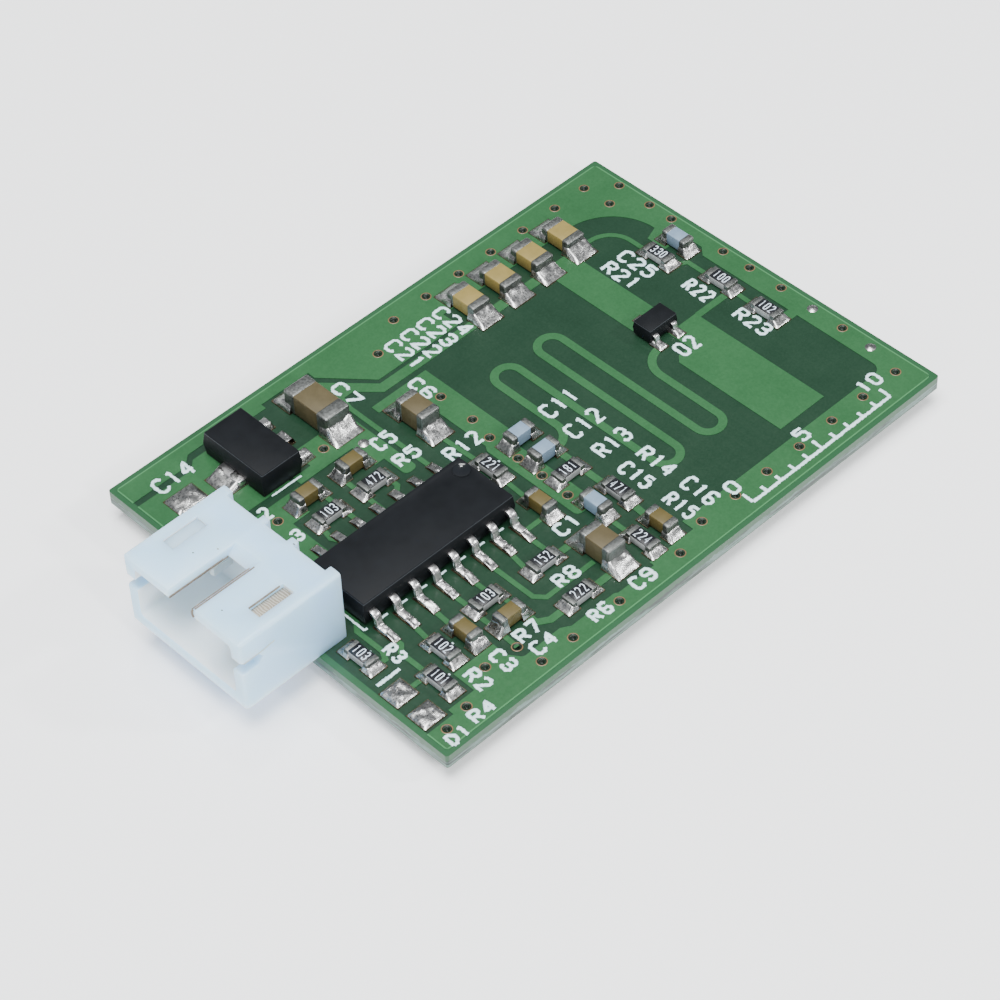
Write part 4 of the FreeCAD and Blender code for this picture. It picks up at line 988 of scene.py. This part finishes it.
add_piece("printed_labels", inked("printed_labels", lines, PRINT_PEN, PRINT_HEIGHT, printed_ink, play=0.2))
print(len(lines), "pen strokes")

# %% [markdown]
# ## Bars and resistor numbers
# The printed outline of the detector shows only as short bars between its front leads and a line
# at its end, so the bars are drawn from lead to lead, with gaps where the leads pass. Each
# resistor's value is printed on its black coat with a finer pen, along the chip's long side.

# %% Bars
BAR_Y, BAR_PEN, BAR_GAP = -3.76, 0.14, 0.42
BAR_CORNER, SHORTEST_BAR = -1.9, 0.1
REGULATOR_BAR = [(-11.6, 5.87), (-9.75, 5.87)]
REGULATOR_DOT = [(-11.62, 5.84), (-11.62, 5.9)]
detector_low, detector_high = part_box("detector_body")
feet = sorted((low.x + high.x) / 2 / MM for low, high in islands("detector_leads_front"))
stops = [detector_low.x / MM - 0.1] + feet + [detector_high.x / MM + 0.05]
bars = []
for here, after in zip(stops, stops[1:]):
    first_x = here + (BAR_GAP if here in feet else 0)
    last_x = after - (BAR_GAP if after in feet else 0)
    if last_x - first_x > SHORTEST_BAR:
        bars.append([(first_x, BAR_Y), (last_x, BAR_Y)])
bars += [[(stops[0], BAR_Y), (stops[0], BAR_CORNER)], REGULATOR_BAR, REGULATOR_DOT]
add_piece("printed_bars", inked("printed_bars", bars, BAR_PEN, PRINT_HEIGHT, printed_ink, play=0.1))
print(len(bars), "bars")

# %% Numbers on the resistors
CODES = "103 472 103 221 102 103 222 101 152 181 224 471 330 100 102".split()
CODE_PEN, CODE_GAP, CODE_RUN, CODE_TALL = 0.072, 0.08, 0.88, 0.58
lines = []
for name, code in zip(resistors, CODES):
    low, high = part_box(name)
    size = (high - low) / MM
    middle = (high + low) / 2 / MM
    turned = size.x <= size.y
    x, y = (CODE_TALL / 2, CODE_RUN / 2) if turned else (CODE_RUN / 2, CODE_TALL / 2)
    box = (middle.x - x, middle.y + y, middle.x + x, middle.y - y)
    lines += pen_strokes(code, *box, turned=turned, pen=CODE_PEN, gap=CODE_GAP)
code_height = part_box(resistors[0])[1].z / MM
add_piece("resistor_codes", inked("resistor_codes", lines, CODE_PEN, code_height, code_ink))
print(len(CODES), "resistor numbers")

# %% [markdown]
# ## The socket
# The housing is natural nylon: milky, a little blue in this light, and light travels some way
# inside it, so thin walls glow and shadows in the mouth stay soft and warm. Subsurface scattering
# in the plastic gives that, and the faces inside the mouth are painted a greyer, warmer colour as
# painted shade. The mesh is the CAD housing with its moulded edges rounded off.

# %% The housing's own sizes and finishes
socket_low, socket_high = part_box("connector_housing")
socket_middle = (socket_low.y + socket_high.y) / 2
SIDE_WALL, FLOOR, ROOF, BACK_WALL = 0.7 * MM, 0.65 * MM, 0.55 * MM, 1.75 * MM
MOUTH_CORNER, SLOT_HALF, SLOT_LENGTH = 0.35 * MM, 0.85 * MM, 3.6 * MM
WINDOW_WIDTH, WINDOW_FROM, WINDOW_TO = 0.76 * MM, 1.85 * MM, 3.95 * MM
mouth_half = socket_high.y - socket_middle - SIDE_WALL
roof_foot = socket_high.z - ROOF


def nylon_finish(name, shades):
    """Nylon that light enters, red deepest and blue least."""
    return finish(
        name, shades, (0.30, 0.42), cloud=2.5, contrast=1.2, grain_size=0.12, bump=0.12,
        Subsurface_Weight=0.75, Subsurface_Scale=1.8 * MM, Subsurface_Radius=(1.0, 0.85, 0.7),
    )


nylon = nylon_finish("natural_nylon", ((0.38, 0.63, 0.97), (0.46, 0.71, 0.99)))
mouth_painted_shade = nylon_finish("nylon_mouth_painted_shade", ((0.60, 0.71, 0.77), (0.68, 0.77, 0.83)))
beige_nylon = nylon_finish("beige_window_painted_shade", ((0.37, 0.53, 0.64), (0.42, 0.63, 0.80)))
faint_shade = finish("faint_edge_shade", ((0.34, 0.40, 0.41), (0.44, 0.51, 0.54)), (0.5, 0.6))
ribbed = nylon_finish("ribbed_window_painted_shade", ((0.11, 0.085, 0.055), (0.34, 0.30, 0.24)))
shadow_lines_and_specks = finish(
    "brown_shadow_lines_and_specks", ((0.085, 0.066, 0.048), (0.22, 0.180, 0.14)), (0.5, 0.6), cloud=0.25, contrast=2.4,
)

# One window's floor is a brown painted shade with fine upright ribs.
tree = ribbed.node_tree
ribs = node(
    tree, "ShaderNodeTexWave", wave_type="BANDS", bands_direction="X",
    Scale=2300.0, Distortion=5.0, Detail=2.0, Vector=object_place(tree),
)
repaint(tree, maths(tree, "GREATER_THAN", ribs.outputs["Fac"], 0.58), (0.42, 0.41, 0.35))
print("roof's inner face at", round(roof_foot / MM, 2), "mm")


# %% Socket
def at_window_corner(edge):
    """The curved edges where a window cuts the mouth's rounded corner. A bevel would spike there."""
    for vert in edge.verts:
        from_front = vert.co.x - socket_low.x
        at_end = min(abs(from_front - WINDOW_FROM), abs(from_front - WINDOW_TO)) < 0.02 * MM
        far_out = abs(vert.co.y - socket_middle) > mouth_half - MOUTH_CORNER
        if not (at_end and far_out and vert.co.z < roof_foot + 0.01 * MM):
            return False
    return True


housing = softened("connector_housing", nylon, 0.05, "socket_nylon", spared=at_window_corner)
# The faces inside the mouth get painted shade: a greyer, warmer nylon.
housing.data.materials.append(mouth_painted_shade)
for polygon in housing.data.polygons:
    centre = polygon.center
    out = abs(centre.y - socket_middle)
    inward = socket_low.x + 0.05 * MM < centre.x < socket_high.x - BACK_WALL + 0.05 * MM
    under_roof = socket_low.z + FLOOR - 0.03 * MM < centre.z < roof_foot + 0.03 * MM
    if inward and under_roof and out < mouth_half + 0.03 * MM:
        polygon.material_index = 1
print(len(housing.data.polygons), "faces on the socket")

# %% [markdown]
# ## Windows, edge lines and specks
# The two small windows in the roof look nearly closed: one faint beige, one brown and ribbed. A
# thin block in each gives that floor, whose beige and brown are painted shade for the windows' depth.
# The slot's edges show thin brown lines, double on one side, with a small curl at the front corner:
# painted shadow lines along the edges, drawn in the same brown as a few dark specks that lie in the
# plastic. Painted in the nylon they would blur, because light spreads inside it, so they are fine
# strokes of the pen.

# %% Windows and edge lines
low_x = socket_low.x / MM
roof_top, roof_low = socket_high.z / MM, roof_foot / MM
middle_y, half_slot, half_mouth = socket_middle / MM, SLOT_HALF / MM, mouth_half / MM
window = (low_x + WINDOW_FROM / MM, low_x + WINDOW_TO / MM)
LAP = 0.03
# The window floors' beige and brown are painted shade for the depth seen through the windows.
for name, side, depth, material in (("left", 1, 0.14, beige_nylon), ("right", -1, 0.26, ribbed)):
    inner = middle_y + side * (half_mouth - WINDOW_WIDTH / MM - LAP)
    outer = middle_y + side * (half_mouth + LAP)
    low = Vector((window[0] - LAP, min(inner, outer), roof_low + 0.05)) * MM
    high = Vector((window[1] + LAP, max(inner, outer), roof_top - depth)) * MM
    liner = block_mesh(low, high, 0.01)
    liner.materials.append(material)
    add_piece("window_floor_" + name, liner, slot="socket_nylon")
    print(name, "window floor", depth, "mm below the roof's top")

# %% Edge lines and specks
slot_end = low_x + SLOT_LENGTH / MM
right_edge, left_edge = middle_y - half_slot, middle_y + half_slot
window_out, window_in = middle_y - half_mouth, middle_y - half_mouth + WINDOW_WIDTH / MM
# Painted shadow lines along the slot's and the windows' edges.
EDGES = (
    (low_x + 0.05, slot_end - 0.1, right_edge + 0.01, roof_top - 0.03),
    (low_x + 0.1, slot_end + 0.1, right_edge - 0.1, roof_top - 0.01),
    (low_x + 0.04, slot_end, left_edge, roof_low),
    (low_x + 0.04, slot_end - 0.3, left_edge, roof_low + 0.05),
    (window[0], window[1] - 0.2, window_in, roof_top - 0.05),
    (window[0], window[1] - 0.4, window_out, roof_top - 0.2),
)
shadow_edge_lines = [[(x, y, z) for x in ends] for *ends, y, z in EDGES]
CURL = (
    (0.06, -0.06, 0.02), (-0.01, -0.04, 0.1), (-0.01, -0.02, 0.25), (-0.01, -0.06, 0.38), (-0.01, -0.12, 0.42),
)
curl = [(low_x + along, right_edge + across, roof_top - drop) for along, across, drop in CURL]
SPECKS = [(2.3, 1.75), (3.25, 1.1), (0.9, -1.9), (5.9, -1.2)]  # from the front, from the middle
speck_z = roof_top - 0.015
dots = []
for along, across in SPECKS:
    x, y = low_x + along, middle_y + across
    dots.append([(x, y, speck_z), (x + 0.03, y + 0.02, speck_z)])
# A faint beige line on the side face is painted shade under the notch's upper edge.
NOTCH_DROP, NOTCH_LINE = 1.3, [(0.15, 0.0), (1.2, 0.02), (2.0, 0.12)]
notch_z, side_face = roof_top - NOTCH_DROP, socket_low.y / MM
notch = [(low_x + along, side_face, notch_z + rise) for along, rise in NOTCH_LINE]
STROKE_SETS = (
    ("edges", shadow_edge_lines, 0.09, shadow_lines_and_specks, 0), ("curl", [curl], 0.14, shadow_lines_and_specks, 0),
    ("dots", dots, 0.11, shadow_lines_and_specks, 0), ("notch", [notch], 0.07, faint_shade, 1),
)
fine_parts = [(stroked(name, sets, pen, shade), number) for name, sets, pen, shade, number in STROKE_SETS]
fine_marks = joined("socket_fine_marks", fine_parts, [shadow_lines_and_specks, faint_shade])
add_piece("socket_fine_marks", fine_marks, slot="socket_nylon")
print(len(shadow_edge_lines), "edge lines and", len(SPECKS), "specks")

# %% [markdown]
# ## The detector's dimple
# A small polished dimple marks the package's first corner, and it gathers the lamps into one
# bright spot. The CAD has it flat-bottomed, so a spun shallow bowl lines it.

# %% Dimple
polished = finish(
    "polished_compound", ((0.0040, 0.0050, 0.0065), (0.0075, 0.0090, 0.0115)), (0.10, 0.15),
    cloud=0.6, bump=0.0, Specular_IOR_Level=0.6,
)
DIMPLE_FROM_END, DIMPLE_FROM_SIDE = 0.63, 0.85
top_face = detector_high.z / MM
BOWL = [(0.0, -0.072), (0.12, -0.068), (0.24, -0.055), (0.34, -0.036), (0.42, -0.012), (0.448, 0.002)]
bowl = spun(above(top_face, *BOWL), 24)
bowl.transform(Matrix.Translation((
    detector_high.x - DIMPLE_FROM_END * MM, detector_high.y - DIMPLE_FROM_SIDE * MM, 0,
)))
bowl.materials.append(polished)
add_piece("detector_dimple", bowl, slot="package_black")
print(len(bowl.polygons), "faces in the dimple")

# %% [markdown]
# ## The floor's finish and the end
# The floor is a plain matt sheet.

# %% Finish
floor_mesh.materials.append(finish(
    "pale_floor", ((0.86, 0.87, 0.88), (0.90, 0.91, 0.92)), (0.8, 0.9),
    cloud=60.0, bump=0.0, Emission_Strength=0.33,
))
